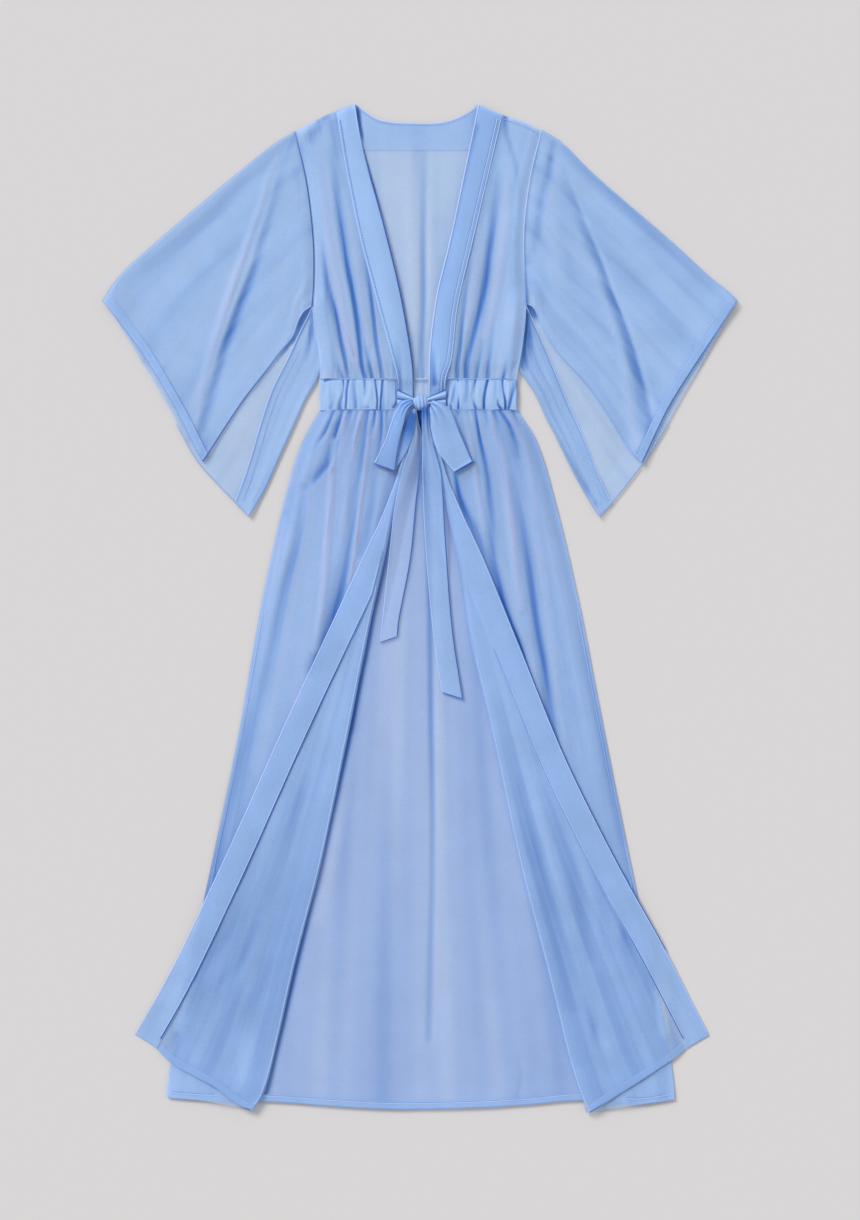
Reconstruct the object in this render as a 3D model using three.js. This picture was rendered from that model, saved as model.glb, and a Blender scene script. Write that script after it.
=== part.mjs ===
// A long sheer beach kimono laid flat and face up: gathered waist in an elastic casing, bow at the middle,
// wide split sleeves, and two skirt fronts whose edges are turned back over themselves.
// Millimetres: X across the garment, Y towards the neck, Z up from the surface that it lies on.
// The origin is on that surface, under the middle of the garment.
import * as THREE from "three";
import { mergeVertices } from "three/addons/utils/BufferGeometryUtils.js";

// Walls, gaps and widths
const CLOTH = 1.2;
const DOUBLED = 1.6;
const HEM_WALL = 1;
const CASING = 2.4;
const SEAM = 0.3;
const SEAM_ACROSS = 0.6;
const LAYER_GAP = 0.7;
const FOLD_RADIUS = 2.2;
const HEM_WIDTH = 11;
const KNOT = { x: 2, y: 299, wide: 32, long: 24, high: 15 };

// Heights that the cloth stands off what is below it
const WAIST_LIFT = 2;
const BODY_LIFT = 1.2;
const NECK_LIFT = 2.8;
const CASING_LIFT = 3;

const BLUE = new THREE.Color(0.28, 0.46, 0.8);

// Outline of each side as it lies, as lines of plan points [x, y]. Every line starts at the neck, shoulder or waist.
const SIDES = {
  left: {
    shoulder: [[-182, 690], [-156, 705], [-114, 724], [-95, 730]],
    armhole: [[-182, 690], [-165, 616], [-155, 526], [-155, 465], [-157, 436]],
    flank: [[-157, 436], [-155, 419], [-146, 359], [-146, 332]],
    front: [[-95, 730], [-86, 676], [-53, 556], [-28, 452], [-12, 358], [-10, 332]],
    frontEnd: [-10, 286],
    stitching: [[-122, 719], [-109, 641], [-88, 537], [-65, 450], [-40, 358], [-34, 332], [-34, 286]],
    casing: { outer: -147, inner: -34 },
    skirtSide: [[-147, 286], [-175, 233], [-194, 171], [-230, 12], [-266, -191], [-308, -394], [-363, -658], [-369, -709]],
    turn: [[-13, 286], [-14, 244], [-36, 165], [-56, 70], [-78, -30], [-111, -197], [-146, -365], [-183, -508],
      [-230, -700], [-246, -726]],
    free: [[-21, 286], [-21, 244], [-46, 157], [-85, 70], [-130, -26], [-189, -152], [-285, -365], [-365, -531],
      [-414, -618]],
    underHem: [[-369, -709], [-317, -713], [-246, -726]],
    flapHem: [[-246, -726], [-258, -722], [-303, -691], [-362, -658], [-387, -635], [-414, -618]],
    sleeveTop: [[-182, 690], [-207, 676], [-268, 628], [-385, 529], [-434, 484], [-460, 446]],
    cuffUnder: [[-460, 446], [-411, 367], [-366, 291], [-324, 215], [-297, 184], [-248, 133]],
    cuffOver: [[-460, 446], [-404, 371], [-357, 294], [-315, 212]],
    sleeveTurn: [[-162, 428], [-160, 405], [-153, 357], [-158, 328], [-175, 291], [-199, 230], [-229, 165], [-248, 133]],
    split: [[-158, 436], [-168, 425], [-183, 397], [-214, 359], [-256, 302], [-294, 245], [-315, 212]],
    strip: [[-169, 424], [-173, 412], [-191, 352], [-221, 275], [-248, 214], [-269, 151]],
  },
  right: {
    shoulder: [[175, 692], [147, 705], [121, 714], [84, 730]],
    armhole: [[175, 692], [158, 619], [150, 550], [150, 499], [154, 441]],
    flank: [[154, 441], [149, 389], [144, 358], [139, 332]],
    front: [[84, 730], [70, 663], [42, 531], [23, 452], [13, 374], [12, 332]],
    frontEnd: [12, 286],
    stitching: [[119, 715], [98, 625], [76, 531], [54, 436], [45, 358], [37, 332], [37, 286]],
    casing: { outer: 141, inner: 37 },
    skirtSide: [[141, 286], [167, 244], [199, 138], [231, 1], [257, -133], [297, -336], [363, -657], [368, -712]],
    turn: [[15, 286], [18, 244], [32, 186], [49, 109], [60, 61], [76, -45], [103, -162], [146, -365], [185, -517],
      [225, -675], [245, -730]],
    free: [[23, 286], [25, 244], [38, 192], [62, 133], [91, 70], [144, -59], [210, -220], [282, -365], [355, -497],
      [418, -619]],
    underHem: [[368, -712], [315, -719], [245, -730]],
    flapHem: [[245, -730], [257, -722], [306, -692], [363, -655], [386, -638], [418, -619]],
    sleeveTop: [[175, 692], [202, 677], [248, 632], [362, 533], [411, 488], [458, 446]],
    cuffUnder: [[458, 446], [419, 374], [381, 309], [347, 249], [328, 219], [274, 150], [257, 133]],
    cuffOver: [[458, 446], [439, 416], [381, 328], [358, 290], [320, 211]],
    sleeveTurn: [[159, 433], [158, 405], [151, 362], [155, 334], [168, 306], [195, 249], [225, 188], [257, 133]],
    split: [[155, 440], [172, 421], [199, 381], [240, 325], [267, 287], [305, 226], [320, 211]],
    strip: [[166, 428], [178, 398], [191, 359], [218, 283], [248, 211], [276, 152]],
  },
};
const BACK_NECK = [[-95, 730], [-86, 724], [-59, 708], [-2, 703], [35, 705], [64, 716], [84, 730]];
const FACING_EDGE = [[-83, 664], [79, 664]];
const BACK_HEM = [[-369, -709], [-317, -713], [-223, -715], [-72, -725], [2, -726], [137, -721], [234, -713],
  [315, -719], [368, -712]];

// Creases that run out of the gathers. waist and far are shares of the panel's width from its side seam,
// fade is the share of its length at which the crease is gone, wide its half width and deep its depth, as shares.
const BODICE_CREASES = {
  left: [
    { waist: 0.1, far: 0.05, fade: 0.3, wide: 0.03, deep: 0.8 },
    { waist: 0.25, far: 0.06, fade: 0.62, wide: 0.035, deep: 0.95 },
    { waist: 0.4, far: 0.36, fade: 0.9, wide: 0.045, deep: 1 },
    { waist: 0.53, far: 0.52, fade: 0.45, wide: 0.035, deep: 0.8 },
    { waist: 0.66, far: 0.7, fade: 0.6, wide: 0.035, deep: 0.95 },
  ],
  right: [
    { waist: 0.09, far: 0.02, fade: 0.3, wide: 0.03, deep: 0.85 },
    { waist: 0.22, far: 0.2, fade: 0.38, wide: 0.035, deep: 0.8 },
    { waist: 0.36, far: 0.4, fade: 0.9, wide: 0.045, deep: 1 },
    { waist: 0.5, far: 0.56, fade: 0.6, wide: 0.035, deep: 0.9 },
    { waist: 0.64, far: 0.68, fade: 0.5, wide: 0.03, deep: 0.8 },
  ],
};
const SKIRT_CREASES = {
  left: [
    { waist: 0.1, far: 0.1, fade: 0.3, wide: 0.03, deep: 0.8 },
    { waist: 0.23, far: 0.2, fade: 0.42, wide: 0.05, deep: 0.95 },
    { waist: 0.36, far: 0.36, fade: 0.45, wide: 0.035, deep: 0.8 },
    { waist: 0.5, far: 0.52, fade: 0.55, wide: 0.035, deep: 0.85 },
    { waist: 0.66, far: 0.68, fade: 0.7, wide: 0.05, deep: 1 },
    { waist: 0.82, far: 0.84, fade: 0.3, wide: 0.035, deep: 0.8 },
  ],
  right: [
    { waist: 0.12, far: 0.16, fade: 0.35, wide: 0.03, deep: 0.8 },
    { waist: 0.24, far: 0.46, fade: 0.75, wide: 0.045, deep: 0.95 },
    { waist: 0.42, far: 0.6, fade: 0.5, wide: 0.035, deep: 0.85 },
    { waist: 0.56, far: 0.74, fade: 0.6, wide: 0.05, deep: 1 },
    { waist: 0.7, far: 0.84, fade: 0.35, wide: 0.035, deep: 0.8 },
    { waist: 0.84, far: 0.92, fade: 0.25, wide: 0.03, deep: 0.7 },
  ],
};

// Soft ridges: from and to are plan points, left and right the half widths looking from one to the other,
// high the height at the middle, and bow how far the middle lies to the left.
const RIDGES = {
  bodiceBack: [{ from: [4, 690], to: [5, 331], bow: 0, left: 10, right: 8, high: 3.5 }],
  skirtBack: [
    { from: [7, 280], to: [14, -716], bow: 0, left: 12, right: 9, high: 3.5 },
    { from: [-40, 120], to: [-90, -720], bow: 6, left: 30, right: 30, high: 1.4 },
    { from: [60, 60], to: [110, -720], bow: -6, left: 34, right: 30, high: 1.4 },
  ],
  leftSleeve: [
    { from: [-196, 655], to: [-325, 250], bow: -8, left: 17, right: 30, high: 3 },
    { from: [-190, 668], to: [-420, 455], bow: 4, left: 26, right: 30, high: 1.5 },
  ],
  rightSleeve: [
    { from: [205, 650], to: [320, 262], bow: 14, left: 34, right: 24, high: 3 },
    { from: [176, 640], to: [205, 420], bow: 4, left: 16, right: 20, high: 2.5 },
  ],
  leftFlap: [
    { from: [-100, -40], to: [-300, -690], bow: 0, left: 34, right: 26, high: 2.6 },
    { from: [-150, -250], to: [-370, -620], bow: 0, left: 20, right: 24, high: 2 },
  ],
  rightFlap: [
    { from: [100, -60], to: [270, -690], bow: 0, left: 26, right: 30, high: 2.6 },
    { from: [160, -220], to: [360, -630], bow: 0, left: 24, right: 24, high: 2 },
  ],
};

// The bow: edge lines of each hanging end and of each loop, from the knot outwards.
const TIE = {
  leftTail: { near: [[-9, 286.6], [-12, 244], [-34, 161], [-45, 80], [-59, -51]],
    far: [[1, 286.6], [1, 244], [0, 178], [-13, 80], [-31, -20], [-33, -42]], over: ["skirt_left", "band_skirt_left"] },
  rightTail: { near: [[3, 286.6], [3, 230], [6, 107], [18, -33], [31, -123]],
    far: [[13, 286.6], [15, 244], [27, 213], [36, 107], [47, -33], [62, -133]], over: ["skirt_right", "band_skirt_right", "tail_left"] },
  leftLoop: { under: [[[-15, 288], [-24, 250], [-50, 200]], [[-8, 284], [-12, 246], [-31, 196]]],
    over: [[[-17, 302], [-34, 297], [-50, 266], [-68, 208]], [[-14, 289], [-20, 282], [-26, 258], [-37, 197]]] },
  rightLoop: { under: [[[13, 283], [22, 246], [52, 198]], [[22, 290], [52, 262], [79, 212]]],
    over: [[[15, 285], [16, 256], [27, 224], [50, 196]], [[21, 301], [38, 292], [58, 252], [76, 211]]] },
};

const clamp = THREE.MathUtils.clamp;
const mix = THREE.MathUtils.lerp;
const steps = (count) => Array.from({ length: count + 1 }, (_, k) => k / count);
const rise = (value, start, end) => THREE.MathUtils.smoothstep((value - start) / (end - start), 0, 1);
const bump = (offset) => (Math.abs(offset) < 1 ? (1 + Math.cos(Math.PI * offset)) / 2 : 0);
const minus = (a, b) => a.map((value, k) => value - b[k]);
const add = (a, b, scale = 1) => a.map((value, k) => value + b[k] * scale);
const mixPlaces = (a, b, share) => add(a, minus(b, a), share);
const unit = (a) => {
  const size = Math.hypot(...a);
  return a.map((value) => value / (size || 1));
};

// A smooth line through plan points, read by its share of length.
function line(points) {
  const curve = new THREE.CatmullRomCurve3(points.map(([x, y]) => new THREE.Vector3(x, y, 0)), false, "centripetal");
  return (share) => {
    const at = curve.getPointAt(clamp(share, 0, 1));
    return [at.x, at.y];
  };
}

// Lines end to end, each up to its share of the whole.
function joined(stretches) {
  return (share) => {
    const k = Math.max(0, stretches.findIndex(([end]) => share <= end + 1e-9));
    const start = k ? stretches[k - 1][0] : 0;
    return stretches[k][1]((share - start) / (stretches[k][0] - start));
  };
}

// A line beside another one, so far to the left as one goes along it.
function beside(edge, distance) {
  return (share) => {
    const [x, y] = unit(minus(edge(Math.min(1, share + 0.01)), edge(Math.max(0, share - 0.01))));
    return add(edge(share), [-y, x], distance);
  };
}

const part = (edge, start, end) => (share) => edge(mix(start, end, share));
const reversed = (edge) => (share) => edge(1 - share);

// The plan of a panel between four edge lines: top and bottom are read across it, first and last down it.
function panel(top, bottom, first, last) {
  const [a, b, c, d] = [top(0), top(1), bottom(0), bottom(1)];
  return (across, down) => {
    const [t, u, f, l] = [top(across), bottom(across), first(down), last(down)];
    return [0, 1].map((k) => mix(t[k], u[k], down) + mix(f[k], l[k], across)
      - mix(mix(a[k], b[k], across), mix(c[k], d[k], across), down));
  };
}

// A panel between two lines only, straight across.
const between = (first, last) => (across, down) => add(first(down), minus(last(down), first(down)), across);

// Height maps: how high each piece reaches, on square cells.
const CELL = 4;
const HALF_X = 480;
const HALF_Y = 750;
const WIDE = Math.round((2 * HALF_X) / CELL);
const LONG = Math.round((2 * HALF_Y) / CELL);
const SPREAD_CELLS = 2;
const laid = {};

const cellAt = ([x, y]) => Math.round((y + HALF_Y) / CELL) * WIDE + Math.round((x + HALF_X) / CELL);

// Visits points all over the faces of a sheet, each with the three corners of its face and its share of each.
function everyPoint(sheet, visit) {
  const apart = (p, q) => Math.hypot(q[0] - p[0], q[1] - p[1]);
  for (let r = 1; r < sheet.length; r += 1) {
    for (let c = 1; c < sheet[r].length; c += 1) {
      const [a, b, d, e] = [sheet[r - 1][c - 1], sheet[r - 1][c], sheet[r][c - 1], sheet[r][c]];
      const down = Math.ceil((2 * Math.max(apart(a, d), apart(b, e))) / CELL) + 1;
      const across = Math.ceil((2 * Math.max(apart(a, b), apart(d, e))) / CELL) + 1;
      for (const v of steps(down)) {
        for (const u of steps(across)) {
          const corners = v >= u ? [a, d, e] : [a, b, e];
          const shares = v >= u ? [1 - v, v - u, u] : [1 - u, u - v, v];
          const place = [0, 1, 2].map((k) => corners.reduce((sum, corner, n) => sum + corner[k] * shares[n], 0));
          visit(place, corners, shares);
        }
      }
    }
  }
}

// Marks how high a sheet of centre points reaches.
function mark(sheet, wall, map = new Float32Array(WIDE * LONG)) {
  everyPoint(sheet, (place) => {
    const cell = cellAt(place);
    map[cell] = Math.max(map[cell], place[2] + wall / 2);
  });
  return map;
}

// One pass over a height map along its rows or columns, with the highest or the mean of the cells near each.
function passed(map, stride, highest) {
  const out = new Float32Array(map.length);
  for (let k = 0; k < map.length; k += 1) {
    let [best, sum] = [0, 0];
    for (let n = -SPREAD_CELLS; n <= SPREAD_CELLS; n += 1) {
      const near = map[clamp(k + n * stride, 0, map.length - 1)];
      best = Math.max(best, near);
      sum += near;
    }
    out[k] = highest ? best : sum / (2 * SPREAD_CELLS + 1);
  }
  return out;
}

// What a piece lies on: the marked heights themselves, and a smooth cover over them.
function ground(...maps) {
  const marked = new Float32Array(WIDE * LONG);
  maps.forEach((map) => map.forEach((height, k) => { marked[k] = Math.max(marked[k], height); }));
  const raised = passed(passed(marked, 1, true), WIDE, true);
  const cover = passed(passed(raised, 1, false), WIDE, false);
  const height = ([x, y]) => {
    const [column, row] = [(x + HALF_X) / CELL, (y + HALF_Y) / CELL];
    const [c, r] = [Math.floor(column), Math.floor(row)];
    const at = (i, j) => cover[(r + j) * WIDE + c + i];
    return mix(mix(at(0, 0), at(1, 0), column - c), mix(at(0, 1), at(1, 1), column - c), row - r);
  };
  return { marked, height };
}
const TABLE = { height: () => -LAYER_GAP };
const on = (...names) => ground(...names.map((name) => laid[name]));

// Centre points of a sheet: its plan at each row and column, over what is below, with its own relief.
function spread({ plan, rows, columns, below, wall = CLOTH, gap = LAYER_GAP, relief = () => 0 }) {
  const sheet = rows.map((down) => columns.map((column) => {
    const across = typeof column === "function" ? column(down) : column;
    const place = plan(across, down);
    return [...place, below.height(place) + gap + wall / 2 + Math.max(0, relief(across, down, place))];
  }));
  return below.marked ? settled(sheet, wall / 2 + gap, below.marked) : sheet;
}

// The sheet with its points raised where a face between them would dip into what is below, then let down
// as a whole until it is its gap away somewhere.
const SETTLE_PASSES = 4;
function settled(sheet, clear, marked) {
  const room = (place) => place[2] - clear - marked[cellAt(place)];
  for (let pass = 0; pass < SETTLE_PASSES; pass += 1) {
    everyPoint(sheet, (place, corners, shares) => {
      const short = Math.max(0, -room(place));
      const total = shares.reduce((sum, share) => sum + share * share, 0);
      corners.forEach((corner, k) => { corner[2] += (short * shares[k]) / total; });
    });
  }
  let least = Infinity;
  everyPoint(sheet, (place) => { least = Math.min(least, room(place)); });
  sheet.flat().forEach((point) => { point[2] -= Math.max(0, least); });
  return sheet;
}

// The points of a soft half turn from the last point of one row to the first of the next layer, for each row.
const TURN_ANGLES = [45, 90, 135].map(THREE.MathUtils.degToRad);
function halfTurn(from, to) {
  return from.map((row, r) => {
    const [last, before] = [row.at(-1), row.at(-2)];
    const first = to[r][0];
    const [ahead, behind] = [from[Math.min(r + 1, from.length - 1)].at(-1), from[Math.max(r - 1, 0)].at(-1)];
    const along = unit(minus(ahead.slice(0, 2), behind.slice(0, 2)));
    const out = minus(last.slice(0, 2), before.slice(0, 2));
    const outward = unit(add(out, along, -(out[0] * along[0] + out[1] * along[1])));
    const middle = add(last, first).map((value) => value / 2);
    const radius = Math.abs(first[2] - last[2]) / 2;
    return TURN_ANGLES.map((angle) => add(add(middle, minus(last, middle), Math.cos(angle)),
      [...outward, 0], radius * Math.sin(angle)));
  });
}

const rowsTogether = (...sheets) => sheets[0].map((_, r) => sheets.flatMap((sheet) => sheet[r]));

// A closed wall around a sheet of centre points.
function wallOf(sheet, wall) {
  const [rows, columns] = [sheet.length, sheet[0].length];
  const at = (r, c) => new THREE.Vector3(...sheet[clamp(r, 0, rows - 1)][clamp(c, 0, columns - 1)]);
  const positions = [];
  for (const side of [wall / 2, -wall / 2]) {
    for (let r = 0; r < rows; r += 1) {
      for (let c = 0; c < columns; c += 1) {
        const across = at(r, c + 1).sub(at(r, c - 1)).normalize();
        const down = at(r + 1, c).sub(at(r - 1, c)).normalize();
        const normal = across.cross(down).normalize();
        positions.push(...at(r, c).addScaledVector(normal, side).toArray());
      }
    }
  }
  const index = [];
  const under = rows * columns;
  const quad = (a, b, c, d) => index.push(a, b, c, a, c, d);
  for (let r = 1; r < rows; r += 1) {
    for (let c = 1; c < columns; c += 1) {
      const k = r * columns + c;
      quad(k, k - 1, k - 1 - columns, k - columns);
      quad(under + k - columns, under + k - 1 - columns, under + k - 1, under + k);
    }
  }
  for (let c = 1; c < columns; c += 1) {
    const k = (rows - 1) * columns + c;
    quad(c - 1, under + c - 1, under + c, c);
    quad(k, under + k, under + k - 1, k - 1);
  }
  for (let r = 1; r < rows; r += 1) {
    const k = r * columns;
    quad(k, under + k, under + k - columns, k - columns);
    quad(k - 1, under + k - 1, under + k - 1 + columns, k - 1 + columns);
  }
  const geometry = new THREE.BufferGeometry();
  geometry.setAttribute("position", new THREE.Float32BufferAttribute(positions, 3));
  geometry.setIndex(index);
  return facingOut(geometry);
}

// The same closed geometry with its faces pointing out.
function facingOut(geometry) {
  const [p, index] = [geometry.getAttribute("position"), geometry.getIndex()];
  const corner = (k) => new THREE.Vector3().fromBufferAttribute(p, index.getX(k));
  let volume = 0;
  for (let k = 0; k < index.count; k += 3) volume += corner(k).dot(corner(k + 1).cross(corner(k + 2)));
  if (volume < 0) index.array.reverse();
  return geometry;
}

const kimono = new THREE.Group();
const chiffon = (depth) => new THREE.MeshStandardMaterial({
  color: BLUE.clone().multiplyScalar(depth), roughness: 0.85, metalness: 0,
});
const MATERIALS = { single: chiffon(1.1), doubled: chiffon(1) };

function addMesh(name, geometry, material) {
  const mesh = new THREE.Mesh(geometry, material);
  mesh.name = name;
  kimono.add(mesh);
}

function addSheet(name, sheet, wall, material = MATERIALS.single) {
  laid[name] = mark(sheet, wall);
  addMesh(name, wallOf(sheet, wall), material);
}

// The relief of a list of ridges at a plan point.
function ridged(ridges) {
  return (_, __, place) => ridges.reduce((height, { from, to, bow, left, right, high }) => {
    const way = minus(to, from);
    const long = Math.hypot(...way);
    const [x, y] = unit(way);
    const [dx, dy] = minus(place, from);
    const share = clamp((dx * x + dy * y) / long, 0, 1);
    const offset = dy * x - dx * y - bow * Math.sin(Math.PI * share);
    return height + high * bump(offset / (offset > 0 ? left : right)) * Math.sin(Math.PI * share) ** 0.5;
  }, 0);
}

const creaseAt = ({ waist, far }, fromWaist) => mix(waist, far, fromWaist);

// What is left of a lift beside the creases, as a share. fromWaist is 0 at the waist and 1 at the panel's far end.
function creased(creases, across, fromWaist) {
  return creases.reduce((left, crease) => left * (1 - crease.deep * rise(fromWaist, crease.fade, 0)
    * bump((across - creaseAt(crease, fromWaist)) / (crease.wide * (1 + fromWaist)))), 1);
}

// Columns that follow the creases: one along each crease, one on either side of it, and the panel's two edges.
function creaseColumns(creases, plain) {
  const columns = creases.flatMap((crease) => [-1, 0, 1].map((side) => (fromWaist) =>
    creaseAt(crease, fromWaist) + side * crease.wide * (1 + fromWaist)));
  return [() => 0, ...columns, ...plain.map((share) => () => share), () => 1];
}

// Back of the bodice, from shoulder to casing, with the facing inside its neck
const left = SIDES.left;
const right = SIDES.right;
const ARMHOLE = 0.72;
const ARMHOLE_STEPS = steps(9);
const BODICE_ROWS = [...ARMHOLE_STEPS.map((share) => share * ARMHOLE), 0.81, 0.88, 0.95, 1];
const sideLine = ({ armhole, flank }) => joined([[ARMHOLE, line(armhole)], [1, line(flank)]]);
const waistLine = (y) => line([[left.flank.at(-1)[0], y], [right.flank.at(-1)[0], y]]);
const topOfBack = joined([[0.25, line(left.shoulder)], [0.75, line(BACK_NECK)], [1, reversed(line(right.shoulder))]]);
const casingTop = left.flank.at(-1)[1];
const casingBottom = left.skirtSide[0][1];

addSheet("bodice_back", spread({
  plan: panel(topOfBack, waistLine(casingTop), sideLine(left), sideLine(right)),
  rows: BODICE_ROWS,
  columns: [0, 0.07, 0.14, 0.21, 0.28, 0.34, 0.4, 0.45, 0.48, 0.5, 0.52, 0.55, 0.6, 0.66, 0.72, 0.79, 0.86, 0.93, 1],
  below: TABLE,
  relief: ridged(RIDGES.bodiceBack),
}), CLOTH);

addSheet("neck_facing", spread({
  plan: panel(part(line(BACK_NECK), 0.06, 0.94), line(FACING_EDGE),
    line([line(BACK_NECK)(0.06), FACING_EDGE[0]]), line([line(BACK_NECK)(0.94), FACING_EDGE[1]])),
  rows: steps(2),
  columns: steps(10),
  below: on("bodice_back"),
  wall: HEM_WALL,
}), HEM_WALL);

// Front of the bodice on one side, from its side seam to the free edge of the neckline
function bodiceFront(side) {
  const edges = SIDES[side];
  const creases = BODICE_CREASES[side];
  const waist = line([edges.flank.at(-1), edges.front.at(-1)]);
  const plan = panel(line(edges.shoulder), waist, sideLine(edges), line(edges.front));
  const relief = (across, down) => {
    const fromWaist = 1 - down;
    const closed = rise(across, 0, 0.12) * rise(down, 0, 0.05);
    const lift = BODY_LIFT + WAIST_LIFT * rise(down, 0.25, 0.9) * (1 - 0.5 * rise(across, 0.75, 1));
    const neck = NECK_LIFT * rise(across, 0.55, 1) * (1 - rise(down, 0.03, 0.4));
    const pinched = 1 - 0.45 * rise(down, 0.94, 1);
    return closed * pinched * (lift * creased(creases, across, fromWaist) + neck);
  };
  const columns = creaseColumns(creases, [0.8, 0.9]).map((column) => (down) => column(1 - down));
  addSheet("bodice_" + side, spread({
    plan, rows: BODICE_ROWS, columns, below: on("bodice_back", "neck_facing"), relief,
  }), CLOTH);
}

// Elastic casing: the back of it, and a front on each side with its gathers
const casingPlan = (from, to) => (across, down) =>
  [mix(from, to, across), mix(casingTop - SEAM_ACROSS, casingBottom + SEAM_ACROSS, down)];
addSheet("casing_back", spread({
  plan: casingPlan(left.casing.outer, right.casing.outer),
  rows: steps(2), columns: steps(12), below: TABLE, wall: CASING,
}), CASING, MATERIALS.doubled);

const CASING_END = 1;
const CASING_SHARE = 1.25;
function casingFront(side) {
  const { outer, inner } = SIDES[side].casing;
  const creases = BODICE_CREASES[side].map((crease) => {
    const waist = crease.waist * CASING_SHARE;
    return { ...crease, waist, far: waist };
  });
  const end = inner + Math.sign(outer) * CASING_END;
  const relief = (across, down) => CASING_LIFT * rise(across, 0, 0.06) * (1 - rise(across, 0.95, 1))
    * (0.5 + 0.5 * Math.sin(Math.PI * down)) * creased(creases, across, 0);
  addSheet("casing_" + side, spread({
    plan: casingPlan(outer, end),
    rows: steps(4), columns: creaseColumns(creases, [0.94]).map((column) => () => column(0)),
    below: on("casing_back"), wall: CASING, relief,
  }), CASING, MATERIALS.doubled);
}

// Front band of the bodice: it lies on the free edge of the neckline and runs down over the casing
function bodiceBand(side) {
  const { stitching, front, frontEnd } = SIDES[side];
  const edge = [...front, frontEnd];
  addSheet("band_bodice_" + side, spread({
    plan: between(line(stitching), line(edge)),
    rows: steps(16).map((share) => mix(0.012, 0.996, share)), columns: [0.02, 0.35, 0.68, 1],
    below: on("bodice_" + side, "casing_back", "bodice_back"), wall: DOUBLED,
  }), DOUBLED, MATERIALS.doubled);
}

// Back of the skirt
addSheet("skirt_back", spread({
  plan: panel(line([left.skirtSide[0], right.skirtSide[0]]), line(BACK_HEM), line(left.skirtSide), line(right.skirtSide)),
  rows: steps(16),
  columns: [0, 0.08, 0.16, 0.24, 0.31, 0.37, 0.43, 0.48, 0.5, 0.52, 0.54, 0.6, 0.66, 0.72, 0.78, 0.86, 0.93, 1],
  below: TABLE,
  relief: ridged(RIDGES.skirtBack),
}), CLOTH);

addSheet("hem_back", spread({
  plan: between(beside(part(line(BACK_HEM), 0.005, 0.995), HEM_WIDTH), part(line(BACK_HEM), 0.005, 0.995)),
  rows: steps(18), columns: [0, 1], below: on("skirt_back"), wall: HEM_WALL,
}), HEM_WALL);

// Front of the skirt on one side: from the side seam to the turned edge, and back over itself to the free edge
const FLAP_ROWS = [0, 0.02, 0.05, 0.1, 0.16, 0.22, 0.29, 0.37, 0.46, 0.55, 0.64, 0.73, 0.82, 0.91, 1];
const flaps = {};
function skirtFront(side) {
  const edges = SIDES[side];
  const creases = SKIRT_CREASES[side];
  const inward = side === "left" ? 1 : -1;
  const turn = line(edges.turn);
  const under = panel(line([edges.skirtSide[0], edges.turn[0]]), line(edges.underHem), line(edges.skirtSide), turn);
  const relief = (across, down) => {
    const closed = rise(across, 0, 0.1) * (1 - 0.9 * rise(across, 0.82, 1));
    const lift = BODY_LIFT * (1 - rise(down, 0.5, 0.8)) + WAIST_LIFT * (1 - rise(down, 0.05, 0.55));
    const pinched = 1 - 0.4 * (1 - rise(down, 0, 0.03));
    return closed * pinched * lift * creased(creases, across, down);
  };
  const lower = spread({
    plan: under, rows: FLAP_ROWS, columns: creaseColumns(creases, []),
    below: on("skirt_back", "hem_back"), relief,
  });
  const over = panel(line([edges.turn[0], edges.free[0]]), line(edges.flapHem), turn, line(edges.free));
  const covered = ground(laid.skirt_back, laid.hem_back, mark(lower, CLOTH));
  const ridges = ridged(RIDGES[side + "Flap"]);
  const upper = spread({
    plan: over, rows: FLAP_ROWS, columns: [0, 0.1, 0.22, 0.36, 0.5, 0.64, 0.78, 0.9, 1],
    below: covered, relief: (across, down, place) => rise(down, 0.15, 0.4) * ridges(across, down, place)
      + FOLD_RADIUS * (1 - rise(across, 0, 0.3)),
  });
  upper.forEach((row, r) => { row[0][2] = Math.max(row[0][2], lower[r].at(-1)[2] + 2 * FOLD_RADIUS); });
  addSheet("skirt_" + side, rowsTogether(lower, halfTurn(lower, upper), upper), CLOTH);
  flaps[side] = { over, inward };
}

// Band on the free edge of a turned-back skirt front, and the hem along its bottom
const SKIRT_BAND = 37;
const WIDEST_BAND = 0.97;
function skirtTrim(side) {
  const { free, turn } = SIDES[side];
  const width = (down) => Math.hypot(...minus(line(free)(down), line(turn)(down)));
  const inner = (down) => 1 - Math.min(WIDEST_BAND, SKIRT_BAND / width(down));
  const bandPlan = (across, down) => flaps[side].over(mix(inner(down), 1, across), down);
  addSheet("band_skirt_" + side, spread({
    plan: bandPlan, rows: steps(18).map((share) => mix(0.012, 0.997, share)), columns: [0, 0.3, 0.65, 1],
    below: on("skirt_" + side), wall: DOUBLED,
  }), DOUBLED, MATERIALS.doubled);
  const hem = part(line(SIDES[side].flapHem), 0.03, 0.8);
  addSheet("hem_" + side, spread({
    plan: between(beside(hem, -HEM_WIDTH * flaps[side].inward), hem),
    rows: steps(7), columns: [0, 1], below: on("skirt_" + side), wall: HEM_WALL,
  }), HEM_WALL);
}

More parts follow.
